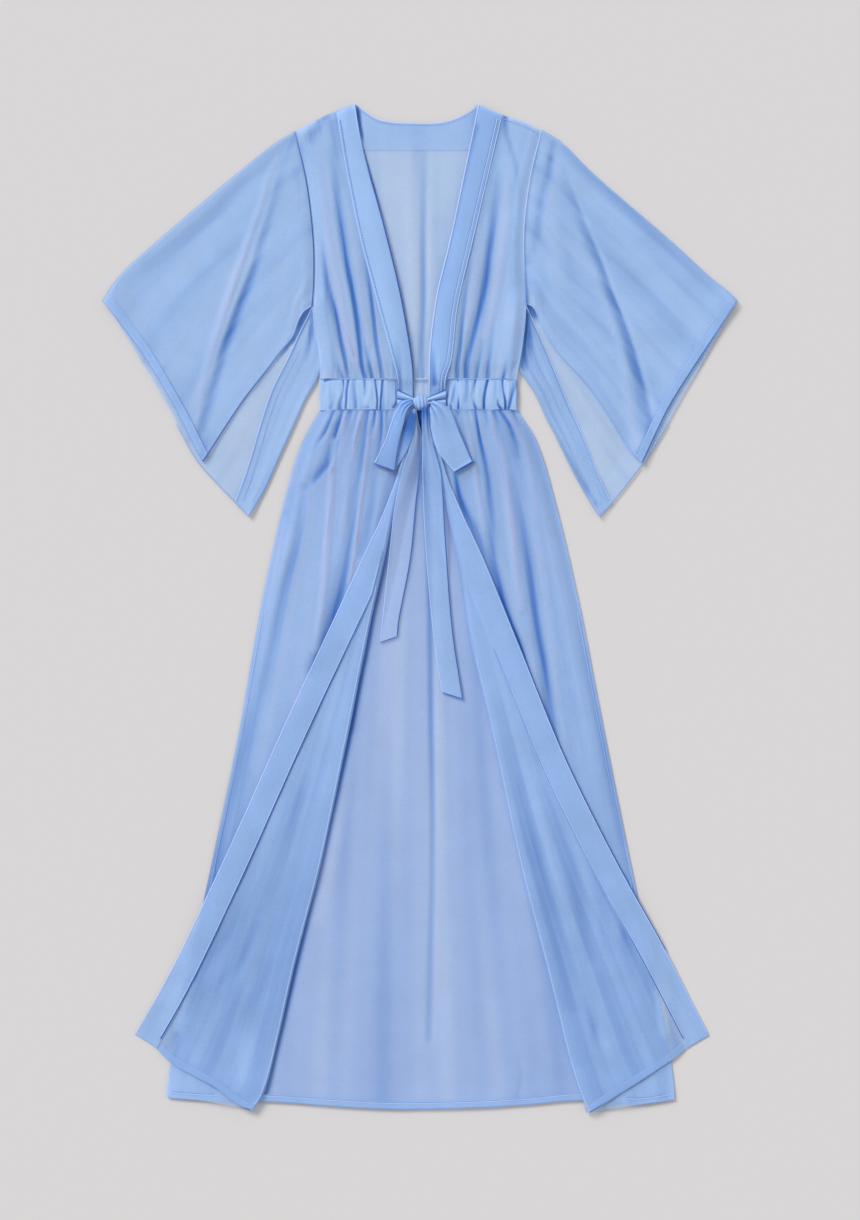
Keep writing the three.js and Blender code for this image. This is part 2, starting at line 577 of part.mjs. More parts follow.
// A sleeve: a split tube pressed flat. From the turned-up strip, round the lower fold, over the back layer,
// round the top fold and down the front layer to its split edge.
const SLEEVE_ROWS = [0, 0.06, 0.14, 0.23, 0.33, 0.44, 0.55, 0.66, 0.77, 0.89, 1];
function sleeve(side) {
  const edges = SIDES[side];
  const outward = side === "left" ? -1 : 1;
  const apart = (edge) => (share) => add(edge(share), [outward * SEAM_ACROSS, 0]);
  const armhole = apart(line(edges.armhole));
  const inset = beside(line(edges.sleeveTop), -outward * FOLD_RADIUS);
  const top = (share) => mixPlaces(armhole(0), inset(share), rise(share, 0, SLEEVE_ROWS[1]));
  const bottom = beside(line(edges.sleeveTurn), outward * FOLD_RADIUS);
  const upTo = (cuff) => reversed(line(cuff));
  const back = panel(
    (share) => mixPlaces(bottom(0), armhole(1 - share), rise(share, 0, ARMHOLE_STEPS[1])),
    upTo(edges.cuffUnder), bottom, top);
  const lower = spread({ plan: back, rows: SLEEVE_ROWS, columns: ARMHOLE_STEPS, below: TABLE });
  const strip = between(line(edges.strip), bottom);
  const turned = spread({
    plan: strip, rows: SLEEVE_ROWS, columns: [0, 0.5, 1], below: ground(mark(lower, CLOTH)),
    relief: (across) => FOLD_RADIUS * rise(across, 0.4, 1),
  });
  turned.forEach((row, r) => { row.at(-1)[2] = Math.max(row.at(-1)[2], lower[r][0][2] + 2 * FOLD_RADIUS); });
  const covered = ground(mark(lower, CLOTH), mark(turned, CLOTH));
  const ridges = ridged(RIDGES[side + "Sleeve"]);
  const front = panel(armhole, line(edges.cuffOver), top, line(edges.split));
  const upper = spread({
    plan: front, rows: SLEEVE_ROWS, columns: ARMHOLE_STEPS, below: covered,
    relief: (across, down, place) => ridges(across, down, place) * rise(down, 0, 0.08)
      + FOLD_RADIUS * (1 - rise(across, 0, 0.2)) + BODY_LIFT * rise(across, 0, 0.2) * (1 - rise(down, 0.1, 0.6)),
  });
  upper.forEach((row, r) => { row[0][2] = Math.max(row[0][2], lower[r].at(-1)[2] + 2 * FOLD_RADIUS); });
  addSheet("sleeve_" + side,
    rowsTogether(turned, halfTurn(turned, lower), lower, halfTurn(lower, upper), upper), CLOTH);
  cuffHem(side, front);
}

// Hem along the front layer of a cuff
const CUFF_HEM = 0.965;
function cuffHem(side, front) {
  const plan = (across, down) => front(mix(0.06, 0.995, down), mix(CUFF_HEM, 0.998, across));
  addSheet("cuff_" + side, spread({
    plan, rows: steps(10), columns: [0, 1], below: on("sleeve_" + side), wall: HEM_WALL,
  }), HEM_WALL);
}

for (const side of ["left", "right"]) {
  bodiceFront(side);
  casingFront(side);
  skirtFront(side);
  skirtTrim(side);
  sleeve(side);
  bodiceBand(side);
}

// The tie: two hanging ends, two loops, the pleated pieces that come out of the casing, and the knot
const TAIL_CROWN = 1.2;
function tail(name, { near, far, over }) {
  addSheet(name, spread({
    plan: between(line(near), line(far)), rows: [0, 0.05, ...steps(12).slice(1)], columns: [0, 0.35, 0.65, 1],
    below: on("skirt_back", "casing_back", ...over), wall: DOUBLED,
    relief: (across) => TAIL_CROWN * Math.sin(Math.PI * across),
  }), DOUBLED, MATERIALS.doubled);
}
tail("tail_left", TIE.leftTail);
tail("tail_right", TIE.rightTail);

const BELOW_BOW = ["skirt_back", "skirt_left", "skirt_right", "band_skirt_left", "band_skirt_right", "casing_back",
  "casing_left", "casing_right", "band_bodice_left", "band_bodice_right", "tail_left", "tail_right",
  "fan_left", "fan_right"];
const LOOP_LIFT = 1.4;
const LOOP_CROWN = 1;
function loop(name, { under, over }) {
  const legPlan = ([first, last]) => {
    const plan = between(line(first), line(last));
    return (across, down) => plan(down, across);
  };
  const lower = spread({
    plan: legPlan(under), rows: steps(4), columns: steps(7).map((share) => mix(0.08, 1, share)),
    below: on(...BELOW_BOW), wall: DOUBLED, gap: SEAM,
  });
  const upper = spread({
    plan: legPlan(over), rows: steps(4), columns: steps(8).map((share) => mix(0.93, 0, share)),
    below: ground(...BELOW_BOW.map((known) => laid[known]), mark(lower, DOUBLED)), wall: DOUBLED,
    relief: (across, down) => LOOP_LIFT * Math.sin(Math.PI * across) + LOOP_CROWN * Math.sin(Math.PI * down),
  });
  upper.forEach((row, r) => {
    row[0] = [...lower[r].at(-1).slice(0, 2), Math.max(row[0][2], lower[r].at(-1)[2] + 2 * FOLD_RADIUS)];
  });
  addSheet(name, rowsTogether(lower, halfTurn(lower, upper), upper), DOUBLED, MATERIALS.doubled);
}

// Where the tie leaves the casing it is pleated like a fan and narrows to the knot
const FAN = { casingTop: 316, casingBottom: 293, knotTop: 306, knotBottom: 297, fromCasing: 1.5, pleats: 2, high: 2.4 };
function fan(side) {
  const { inner } = SIDES[side].casing;
  const toKnot = Math.sign(KNOT.x - inner);
  const atCasing = inner + toKnot * FAN.fromCasing;
  const atKnot = KNOT.x - toKnot * (KNOT.wide / 2 + SEAM);
  const upper = line([[atCasing, FAN.casingTop], [atKnot, FAN.knotTop]]);
  const lower = line([[atCasing, FAN.casingBottom], [atKnot, FAN.knotBottom]]);
  addSheet("fan_" + side, spread({
    plan: between(upper, lower), rows: steps(4), columns: steps(8),
    below: on("band_bodice_" + side, "casing_back"), wall: DOUBLED,
    relief: (across) => FAN.high * Math.sin(FAN.pleats * Math.PI * across) ** 2,
  }), DOUBLED, MATERIALS.doubled);
}
fan("left");
fan("right");
loop("loop_left", TIE.leftLoop);
loop("loop_right", TIE.rightLoop);

// A soft ball with furrows across its top, where the tie wraps round it
const FURROWS = [{ x: -7, wide: 3.5, deep: 0.16 }, { x: 0, wide: 4, deep: 0.2 }, { x: 7.5, wide: 3.5, deep: 0.16 }];
function knot() {
  const ball = new THREE.SphereGeometry(1, 28, 14);
  ball.deleteAttribute("normal");
  ball.deleteAttribute("uv");
  const soft = mergeVertices(ball);
  soft.scale(KNOT.wide / 2, KNOT.long / 2, KNOT.high / 2);
  const at = soft.getAttribute("position");
  for (let k = 0; k < at.count; k += 1) {
    const furrow = FURROWS.reduce((sum, { x, wide, deep }) => sum + deep * bump((at.getX(k) - x) / wide), 0);
    at.setY(k, at.getY(k) * (1 - furrow));
    at.setZ(k, at.getZ(k) * (1 - furrow));
  }
  soft.translate(KNOT.x, KNOT.y, 0);
  const { marked } = on("band_bodice_left", "band_bodice_right", "casing_back", "fan_left", "fan_right");
  const corners = steps(at.count - 1).map((_, k) => [at.getX(k), at.getY(k), at.getZ(k)]);
  soft.translate(0, 0, Math.max(...corners.map((corner) => marked[cellAt(corner)] + SEAM - corner[2])));
  addMesh("knot", soft, MATERIALS.doubled);
}
knot();

export default kimono;
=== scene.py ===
"""A sheer beach kimono laid flat and face up, dressed piece by piece over its fixed frame.

Lengths in the tables are millimetres, in the frame's own axes: X across the garment, Y towards the neck, Z up
from the surface that it lies on. Left and right are as seen from above with the neck at the top.
"""

import math

import bpy
import numpy as np
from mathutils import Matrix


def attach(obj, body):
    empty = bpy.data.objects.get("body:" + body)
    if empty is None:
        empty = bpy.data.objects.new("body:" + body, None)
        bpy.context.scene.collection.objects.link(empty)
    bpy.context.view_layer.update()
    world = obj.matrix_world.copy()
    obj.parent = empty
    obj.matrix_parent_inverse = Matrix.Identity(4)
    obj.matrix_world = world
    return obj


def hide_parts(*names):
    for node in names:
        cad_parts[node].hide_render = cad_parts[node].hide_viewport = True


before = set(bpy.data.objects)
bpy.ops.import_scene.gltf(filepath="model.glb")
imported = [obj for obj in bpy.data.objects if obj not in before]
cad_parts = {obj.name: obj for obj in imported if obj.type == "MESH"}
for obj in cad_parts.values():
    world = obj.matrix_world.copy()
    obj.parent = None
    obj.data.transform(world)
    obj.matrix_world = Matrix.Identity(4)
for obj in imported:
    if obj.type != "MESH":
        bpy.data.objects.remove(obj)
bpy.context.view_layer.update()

bl_info = {
    "name": "Beach Kimono",
    "version": (1, 0, 0),
    "blender": (4, 5, 0),
    "location": "View3D > Sidebar > Kimono",
    "description": "Lays out a sheer beach kimono with gathers, bands, hems, stitching and a tied bow",
    "category": "Add Mesh",
}

MM = 0.001

# Outline of each side as it lies: lines of plan points, each starting at the neck, the shoulder or the waist
SIDES = {
    "left": {
        "shoulder": [(-182, 690), (-156, 705), (-114, 724), (-95, 730)],
        "armhole": [(-182, 690), (-165, 616), (-155, 526), (-155, 465), (-157, 436)],
        "flank": [(-157, 436), (-155, 419), (-146, 359), (-146, 332)],
        "front": [(-95, 730), (-86, 676), (-53, 556), (-28, 452), (-12, 358), (-10, 332)],
        "front_end": (-10, 286),
        "stitching": [(-122, 719), (-109, 641), (-88, 537), (-65, 450), (-40, 358), (-34, 332), (-34, 286)],
        "casing": (-147, -34),
        "skirt_side": [(-147, 286), (-175, 233), (-194, 171), (-230, 12), (-266, -191), (-308, -394),
                       (-363, -658), (-369, -709)],
        "turn": [(-13, 286), (-14, 244), (-36, 165), (-56, 70), (-78, -30), (-111, -197), (-146, -365),
                 (-183, -508), (-230, -700), (-246, -726)],
        "free": [(-21, 286), (-21, 244), (-46, 157), (-85, 70), (-130, -26), (-189, -152), (-285, -365),
                 (-365, -531), (-414, -618)],
        "under_hem": [(-369, -709), (-317, -713), (-246, -726)],
        "flap_hem": [(-246, -726), (-258, -722), (-303, -691), (-362, -658), (-387, -635), (-414, -618)],
        "sleeve_top": [(-182, 690), (-207, 676), (-268, 628), (-385, 529), (-434, 484), (-460, 446)],
        "cuff_under": [(-460, 446), (-411, 367), (-366, 291), (-324, 215), (-297, 184), (-248, 133)],
        "cuff_over": [(-460, 446), (-404, 371), (-357, 294), (-315, 212)],
        "sleeve_turn": [(-154, 434), (-151, 405), (-142, 370), (-144, 346), (-153, 325), (-166, 303),
                        (-179, 274), (-199, 230), (-229, 165), (-248, 133)],
        "split": [(-158, 438), (-170, 429), (-178, 415), (-182, 403), (-187, 391), (-199, 377), (-218, 351),
                  (-256, 302), (-294, 245), (-315, 212)],
        "strip": [(-156, 437), (-175, 399), (-190, 366), (-215, 316), (-230, 273), (-247, 215), (-269, 151)],
    },
    "right": {
        "shoulder": [(175, 692), (147, 705), (121, 714), (84, 730)],
        "armhole": [(175, 692), (158, 619), (150, 550), (150, 499), (154, 441)],
        "flank": [(154, 441), (149, 389), (144, 358), (139, 332)],
        "front": [(84, 730), (70, 663), (42, 531), (23, 452), (13, 374), (12, 332)],
        "front_end": (12, 286),
        "stitching": [(119, 715), (98, 625), (76, 531), (54, 436), (45, 358), (37, 332), (37, 286)],
        "casing": (141, 37),
        "skirt_side": [(141, 286), (167, 244), (199, 138), (231, 1), (257, -133), (297, -336), (363, -657),
                       (368, -712)],
        "turn": [(15, 286), (18, 244), (32, 186), (49, 109), (60, 61), (76, -45), (103, -162), (146, -365),
                 (185, -517), (225, -675), (245, -730)],
        "free": [(23, 286), (25, 244), (38, 192), (62, 133), (91, 70), (144, -59), (210, -220), (282, -365),
                 (355, -497), (418, -619)],
        "under_hem": [(368, -712), (315, -719), (245, -730)],
        "flap_hem": [(245, -730), (257, -722), (306, -692), (363, -655), (386, -638), (418, -619)],
        "sleeve_top": [(175, 692), (202, 677), (248, 632), (362, 533), (411, 488), (458, 446)],
        "cuff_under": [(458, 446), (419, 374), (381, 309), (347, 249), (328, 219), (274, 150), (257, 133)],
        "cuff_over": [(458, 446), (439, 416), (381, 328), (358, 290), (320, 211)],
        "sleeve_turn": [(151, 435), (149, 405), (139, 372), (142, 348), (151, 332), (165, 311), (181, 276),
                        (195, 249), (225, 188), (257, 133)],
        "split": [(153, 441), (162, 437), (169, 427), (173, 415), (182, 396), (196, 374), (212, 356),
                  (240, 325), (267, 287), (305, 226), (320, 211)],
        "strip": [(153, 438), (173, 394), (191, 352), (218, 287), (239, 240), (262, 182), (276, 152)],
    },
}
BACK_NECK = [(-95, 730), (-86, 724), (-59, 708), (-2, 703), (35, 705), (64, 716), (84, 730)]
FACING_EDGE = [(-91, 664), (79, 664)]
BACK_HEM = [(-369, -709), (-317, -713), (-223, -715), (-72, -725), (2, -726), (137, -721), (234, -713),
            (315, -719), (368, -712)]
CASING_TOP = 332
CASING_BOTTOM = 286
HEM_WIDTH = 11
BAND_WIDTH = 37

# Radius of the soft fold where a piece turns back over itself, and the air under a piece
TURN_RADIUS = 2.2
AIR = 0.5

# Shares of a length: where the armhole ends from shoulder to waist, where a sleeve's hem starts, the parts of
# the back's and of a flap's edge that are hemmed, and where a front shows below its flap instead
ARMHOLE = 0.72
CUFF_START = 0.962
BACK_HEM_PART = (0.004, 0.996)
FLAP_HEM_PART = (0.03, 0.8)
HEM_CORNERS = {"left": (0.008, 0.097), "right": (0.907, 0.992)}

# Depth of tone on either side: above 0 deeper, below 0 paler. skirt_low is added towards the lower skirt, and
# waist paints the gathers above the casing paler, as a painted highlight.
TONE = {
    "left": dict(sleeve=0.0, waist=-0.18, casing=0.06, skirt=-0.08, skirt_low=0.9, flap=0.03, band=0.05,
                 loop=0.45),
    "right": dict(sleeve=0.1, waist=-0.08, casing=0.15, skirt=0.1, skirt_low=0.15, flap=0.04, band=0.3,
                  loop=0.14),
}

# Folds listed for each piece. line runs through plan points, and left and right are the half widths
# towards -X and +X. cloth is how much cloth is folded together and how much shade is painted there, read
# evenly from the line's start to its end: up to 1 in a deep crease, more in a gap or in a painted shadow
# beside a raised edge, below 0 a painted highlight on a crest that stands up into the light. taper scales
# the widths in the same way.
FOLDS = {
    "bodice_left": [
        dict(line=[(-130, 664), (-124, 628), (-120, 584), (-114, 541), (-107, 497), (-99, 461), (-92, 418),
                   (-88, 381), (-85, 351), (-80, 331)], left=9.1, right=9.8, cloth=(0.19, 0.81, 1.02, 1.36),
             taper=(1.2, 1, 0.65)),
        dict(line=[(-144, 534), (-138, 497), (-131, 461), (-121, 422), (-114, 386), (-108, 360), (-104, 332)],
             left=11.7, right=5.9, cloth=(0.1, 0.76, 1.2, 2.04), taper=(1, 1, 0.5)),
        dict(line=[(-86, 534), (-78, 493), (-72, 457), (-67, 418), (-63, 384), (-57, 351), (-54, 332)],
             left=7.8, right=5.2, cloth=(0.1, 0.9, 1.32, 2.04), taper=(1, 1, 0.8)),
        dict(line=[(-82, 389), (-76, 364), (-72, 345), (-69, 331)], left=6.5, right=5.2,
             cloth=(0.19, 0.76, 1.87), taper=(1, 1, 0.9)),
        dict(line=[(-130, 381), (-125, 364), (-118, 348), (-112, 332)], left=11.7, right=6.5,
             cloth=(0.1, 0.28, 0.94), taper=(1.2, 1, 0.7)),
        dict(line=[(-34, 381), (-31, 360), (-30, 334), (-30, 309)], left=11.7, right=5.2,
             cloth=(0.1, 0.33, 0.77), taper=(1, 1, 0.8)),
        dict(line=[(-92, 360), (-92, 345), (-91, 332)], left=6.5, right=6.5, cloth=(0.05, 0.19, 0.59)),
        # Painted shade beside the left shoulder
        dict(line=[(-141, 710), (-150, 693), (-165, 676), (-175, 652)], left=11.7, right=15.6,
             cloth=(0.52, 0.38, 0.17), taper=(1, 1, 1.2)),
        dict(line=[(-120, 710), (-120, 686), (-115, 657)], left=15.6, right=9.1, cloth=(0.33, 0.28, 0.17)),
        dict(line=[(-149, 664), (-143, 606), (-136, 555), (-127, 502), (-117, 454), (-108, 410), (-99, 367)],
             left=11.7, right=11.7, cloth=(-0.19, -0.57, -0.51), taper=(1, 1, 0.8)),
        dict(line=[(-109, 599), (-102, 551), (-95, 502), (-88, 454), (-80, 410), (-75, 381)], left=10.4,
             right=10.4, cloth=(-0.19, -0.47, -0.68), taper=(1, 1, 0.7)),
        dict(line=[(-111, 418), (-102, 381), (-96, 357)], left=5.2, right=5.2, cloth=(-0.1, -0.57, -0.51)),
    ],
    "bodice_right": [
        dict(line=[(114, 628), (109, 592), (105, 551), (99, 512), (95, 478), (88, 442), (80, 410), (73, 381),
                   (67, 357), (66, 332)], left=11.1, right=10.4, cloth=(0.14, 0.76, 0.96, 1.2),
             taper=(0.9, 1, 0.8)),
        dict(line=[(78, 545), (72, 502), (67, 464), (63, 432), (60, 403), (57, 371), (54, 351), (54, 329)],
             left=6.5, right=5.2, cloth=(0.1, 0.62, 1.72), taper=(1.2, 1, 1)),
        dict(line=[(109, 418), (105, 396), (102, 371), (99, 351), (98, 332)], left=10.4, right=6.5,
             cloth=(0.1, 0.62, 1.2), taper=(1, 1, 0.8)),
        dict(line=[(92, 389), (86, 362), (82, 345), (80, 332)], left=7.8, right=6.5, cloth=(0.1, 0.43, 0.9),
             taper=(1, 1, 0.9)),
        # Painted shade beside the right shoulder, by the band
        dict(line=[(123, 719), (123, 705), (124, 690), (131, 664), (138, 639), (144, 606), (147, 560)],
             left=6.5, right=6.5, cloth=(0.66, 0.28, 0.08), taper=(1.2, 1, 1)),
        dict(line=[(128, 367), (124, 351), (120, 332)], left=6.5, right=6.5, cloth=(0.1, 0.47, 1.12),
             taper=(1, 1, 0.8)),
        dict(line=[(138, 354), (133, 345), (127, 339)], left=6.5, right=5.2, cloth=(0.47, 0.38, 0.15)),
        dict(line=[(17, 374), (18, 351), (20, 325)], left=6.5, right=5.2, cloth=(0.1, 0.33, 0.68)),
        dict(line=[(150, 490), (153, 461), (154, 439)], left=6.5, right=6.5, cloth=(0.1, 0.33, 0.75)),
        dict(line=[(69, 693), (69, 664), (59, 621), (47, 570), (38, 519), (28, 461)], left=10.4, right=10.4,
             cloth=(0.28, 0.21, 0.08)),
        dict(line=[(124, 642), (127, 592), (121, 534), (115, 490), (109, 454), (101, 418), (95, 392)],
             left=13, right=11.7, cloth=(-0.19, -0.52, -0.45), taper=(1, 1, 0.8)),
        dict(line=[(86, 548), (82, 505), (76, 464), (72, 432), (67, 403)], left=9.1, right=9.1,
             cloth=(-0.19, -0.52, -0.6), taper=(1, 1, 0.7)),
        dict(line=[(127, 447), (133, 410), (128, 381)], left=20.8, right=18.2, cloth=(-0.1, -0.43, -0.15)),
        dict(line=[(115, 374), (114, 352), (111, 336)], left=6.5, right=6.5, cloth=(-0.1, -0.47, -0.6)),
    ],
    "casing_left": [
        dict(line=[(-114, 339), (-112, 329), (-111, 318), (-113, 307), (-117, 299), (-118, 289)], left=3.2,
             right=4.5, cloth=(0.7, 0.85, 0.75, 0.7, 0.85), taper=(0.8, 0.9, 1.3, 1.6)),
        dict(line=[(-103, 338), (-104, 331), (-106, 319), (-107, 304), (-108, 289)], left=2.9, right=2.9,
             cloth=(1.3, 1, 0.85, 0.9, 1.1)),
        dict(line=[(-94, 339), (-95, 322), (-94, 304), (-93, 290)], left=5.9, right=3.2,
             cloth=(0.45, 0.5, 0.5, 0.6)),
        dict(line=[(-83, 339), (-81, 329), (-81, 316), (-82, 299)], left=3.6, right=3.6,
             cloth=(0.8, 0.7, 0.45, 0.05), taper=(0.8, 1, 1.3)),
        dict(line=[(-67, 339), (-65, 323), (-63, 309), (-62, 299), (-63, 289)], left=3.1, right=3.4,
             cloth=(0.9, 0.95, 1.1, 1.3), taper=(0.9, 1, 1)),
        dict(line=[(-54, 339), (-55, 328), (-56, 313), (-58, 299), (-58, 289)], left=3.4, right=3.6,
             cloth=(1.3, 1.2, 1, 1.1, 1.2)),
        dict(line=[(-138, 329), (-130, 331), (-117, 333)], left=3.2, right=3.2, cloth=(0.9, 0.5, 0.3),
             taper=(1.3, 0.8, 0.6)),
        dict(line=[(-35, 316), (-34, 300), (-39, 291)], left=2.6, right=2.6, cloth=(0.4, 0.5, 1.2),
             taper=(0.8, 0.8, 1.6)),
        dict(line=[(-127, 299), (-130, 289)], left=3.9, right=3.9, cloth=(0.1, 0.5)),
        dict(line=[(-75, 291), (-85, 291)], left=2.6, right=2.6, cloth=(0.8, 0.4)),
        dict(line=[(-108, 334), (-110, 316), (-112, 299)], left=2.1, right=2.1, cloth=(-0.9, -0.9, -0.3)),
        dict(line=[(-59, 334), (-59, 313), (-60, 293)], left=1.6, right=1.6, cloth=(-0.9, -0.9, -0.9)),
        dict(line=[(-73, 334), (-73, 313), (-78, 297)], left=5.2, right=5.2, cloth=(-0.3, -0.6, -0.4)),
        dict(line=[(-49, 331), (-47, 313), (-49, 296)], left=5.2, right=5.2, cloth=(-0.2, -0.3, -0.2)),
        dict(line=[(-134, 322), (-136, 307), (-137, 293)], left=5.2, right=5.2, cloth=(-0.1, -0.4, -0.2)),
    ],
    "casing_right": [
        dict(line=[(54, 339), (54, 329)], left=2.3, right=2.6, cloth=(1.4, 1.3)),
        dict(line=[(50, 326), (47, 309), (44, 293)], left=3.4, right=4.7, cloth=(0.1, 0.6, 0.7, 0.6)),
        dict(line=[(42, 325), (39, 309), (38, 291)], left=3.4, right=3.4, cloth=(0.2, 0.6, 0.6, 0.8)),
        dict(line=[(43, 293), (44, 289)], left=3.9, right=3.9, cloth=(1.1, 1.2)),
        dict(line=[(55, 304), (55, 289)], left=2.9, right=2.9, cloth=(0.3, 1.2), taper=(0.9, 1, 1)),
        dict(line=[(67, 339), (67, 319), (65, 299)], left=5.2, right=5.2, cloth=(0.6, 0.4, 0.25)),
        dict(line=[(80, 339), (80, 332), (78, 322), (77, 312)], left=2.9, right=2.9,
             cloth=(0.9, 1, 0.45, 0.2)),
        dict(line=[(77, 302), (78, 294), (80, 289)], left=3.4, right=3.6, cloth=(0.3, 0.8, 1.1),
             taper=(0.8, 1, 1.2)),
        dict(line=[(99, 339), (97, 329), (94, 316), (92, 302), (92, 289)], left=3.6, right=3.6,
             cloth=(1.1, 1.25, 0.95, 1.05, 1.1), taper=(0.9, 1, 1)),
        dict(line=[(119, 339), (119, 329), (120, 313), (123, 299), (123, 289)], left=3.1, right=3.1,
             cloth=(1, 1, 1, 1.05, 1.3), taper=(1, 0.9, 1)),
        dict(line=[(138, 325), (134, 313), (131, 302), (128, 289)], left=4.7, right=4.2,
             cloth=(0.35, 0.6, 0.75, 0.8), taper=(1.4, 1, 1)),
        dict(line=[(112, 302), (113, 294), (117, 288)], left=3.4, right=2.9, cloth=(0.5, 1, 1.3),
             taper=(0.8, 1, 1.2)),
        dict(line=[(115, 289), (128, 289)], left=2.1, right=2.1, cloth=(1.1, 1)),
        dict(line=[(104, 325), (102, 309), (101, 294)], left=5.2, right=5.2, cloth=(-0.2, -0.5, -0.3)),
        dict(line=[(85, 325), (83, 309), (85, 294)], left=4.5, right=4.5, cloth=(-0.3, -0.6, -0.3)),
        dict(line=[(128, 325), (127, 313), (127, 302)], left=2.9, right=2.9, cloth=(-0.5, -0.8, -0.4)),
        dict(line=[(59, 325), (59, 307), (59, 293)], left=2.9, right=2.9, cloth=(-0.3, -0.6, -0.4)),
        dict(line=[(73, 326), (72, 312)], left=2.1, right=2.1, cloth=(-0.6, -0.8, -0.3)),
    ],
    "skirt_left": [
        dict(line=[(-107, 287), (-109, 265), (-115, 244)], left=3.9, right=3.9, cloth=(-0.7, -0.6, -0.2)),
        dict(line=[(-82, 287), (-88, 261), (-94, 232)], left=3.9, right=5.2, cloth=(-0.7, -0.6, -0.3)),
        dict(line=[(-62, 287), (-62, 267), (-66, 244)], left=3.9, right=3.9, cloth=(-0.7, -0.6, -0.2)),
        dict(line=[(-47, 287), (-46, 267), (-47, 244)], left=6.5, right=6.5, cloth=(0.8, 0.5, 0.1)),
        dict(line=[(-124, 289), (-131, 271), (-138, 255), (-149, 239), (-157, 226)], left=6.5, right=5.2,
             cloth=(1, 1.1, 0.3), taper=(1, 1, 1.5)),
        dict(line=[(-112, 289), (-117, 267), (-121, 246), (-125, 229), (-131, 213), (-141, 199), (-154, 184),
                   (-165, 173)], left=11.7, right=6.5, cloth=(0.8, 1.1, 1.15, 0.9, 0.4),
             taper=(0.6, 1.1, 1.4, 1.3, 1.2)),
        dict(line=[(-170, 174), (-172, 149), (-176, 113), (-183, 80), (-192, 48), (-201, 12), (-210, -32),
                   (-218, -68), (-230, -119), (-243, -170), (-254, -220), (-265, -271), (-276, -322)],
             left=14.3, right=14.3, cloth=(0.5, 0.8, 0.65, 0.6, 0), taper=(0.8, 1, 1.2, 1.3)),
        dict(line=[(-185, 164), (-188, 135), (-192, 99)], left=15.6, right=15.6, cloth=(0.3, 0.3, 0.1)),
        dict(line=[(-99, 289), (-104, 270), (-109, 249)], left=6.5, right=5.2, cloth=(0.9, 0.6, 0.15)),
        dict(line=[(-89, 289), (-98, 261), (-104, 229), (-107, 193), (-108, 157)], left=7.8, right=7.8,
             cloth=(0.3, 0.3, 0.1), taper=(1, 1, 1.4)),
        dict(line=[(-75, 289), (-78, 267), (-82, 236), (-86, 203), (-91, 174), (-95, 145), (-99, 113),
                   (-104, 84), (-108, 52), (-115, 19), (-123, -10), (-130, -35), (-138, -61), (-149, -90)],
             left=15.6, right=7.8, cloth=(0.95, 0.7, 0.5, 0.6, 0.75, 0.85, 1.1, 1.2, 1.1),
             taper=(0.5, 0.8, 1.1, 1.4, 1.5)),
        dict(line=[(-65, 289), (-67, 270), (-72, 249)], left=5.2, right=5.2, cloth=(1.1, 0.8, 0.2)),
        dict(line=[(-57, 289), (-56, 270), (-57, 249), (-60, 229), (-65, 203)], left=5.2, right=5.2,
             cloth=(1.1, 0.9, 0.3)),
        dict(line=[(-62, 203), (-66, 174), (-69, 149), (-73, 128), (-78, 103), (-86, 77)], left=11.7,
             right=9.1, cloth=(0.3, 0.7, 0.55), taper=(1, 1, 1.2)),
        dict(line=[(-125, 241), (-128, 200), (-130, 157), (-133, 113), (-137, 62), (-143, 4), (-152, -61)],
             left=9.1, right=9.1, cloth=(-0.7, -1, -0.8, -0.5), taper=(0.8, 1, 1, 1)),
        dict(line=[(-75, 244), (-79, 203), (-86, 151), (-91, 113), (-95, 75), (-104, 38)], left=5.2,
             right=5.2, cloth=(-0.6, -1, -1, -0.7), taper=(0.9, 1, 1)),
        dict(line=[(-102, 244), (-105, 200), (-108, 157), (-111, 113), (-117, 70)], left=10.4, right=9.1,
             cloth=(-0.3, -0.6, -0.5, -0.1)),
        dict(line=[(-108, 284), (-115, 261), (-122, 236), (-125, 212)], left=3.9, right=3.9,
             cloth=(-0.7, -1, -0.8)),
        dict(line=[(-85, 284), (-89, 267), (-94, 244), (-98, 215)], left=5.2, right=5.2,
             cloth=(-0.8, -0.9, -0.4)),
        dict(line=[(-175, 229), (-189, 180), (-196, 149)], left=13, right=10.4, cloth=(-0.3, -0.5, -0.3)),
        dict(line=[(-196, 128), (-207, 70), (-221, 4), (-239, -61)], left=5.2, right=5.2,
             cloth=(-0.3, -0.6, -0.4, -0.2)),
    ],
    "skirt_right": [
        dict(line=[(105, 287), (111, 267), (115, 244)], left=5.2, right=7.8, cloth=(0.8, 0.5, 0.05)),
        dict(line=[(133, 286), (141, 267), (150, 244)], left=6.5, right=5.2, cloth=(0.5, 0.4, 0.05)),
        dict(line=[(72, 287), (75, 264), (79, 235)], left=5.2, right=3.9, cloth=(-0.7, -0.6, -0.2)),
        dict(line=[(99, 287), (105, 258), (111, 226)], left=5.2, right=3.9, cloth=(-0.7, -0.6, -0.2)),
        dict(line=[(79, 289), (82, 270), (86, 244), (92, 218), (98, 188), (100, 157), (102, 128), (104, 91),
                   (107, 58), (115, 26), (121, 3), (129, -23), (138, -46), (146, -70), (153, -96)], left=10.4,
             right=9.1, cloth=(1.1, 1, 0.7, 0.55, 0.55, 0.65, 0.9, 1.15, 1.2, 1.1),
             taper=(0.4, 0.7, 1.1, 1.3, 1.2, 1.1)),
        dict(line=[(92, 289), (95, 273), (99, 255)], left=5.2, right=5.2, cloth=(0.6, 0.4, 0.05)),
        dict(line=[(115, 286), (127, 267), (134, 251), (141, 233), (144, 218)], left=6.5, right=6.5,
             cloth=(0.9, 0.9, 0.35), taper=(0.9, 1, 1)),
        dict(line=[(130, 249), (136, 226), (140, 200)], left=10.4, right=7.8, cloth=(0.2, 0.35, 0.1)),
        dict(line=[(136, 186), (141, 154), (147, 125), (152, 96), (157, 65), (162, 26), (166, -6), (171, -41),
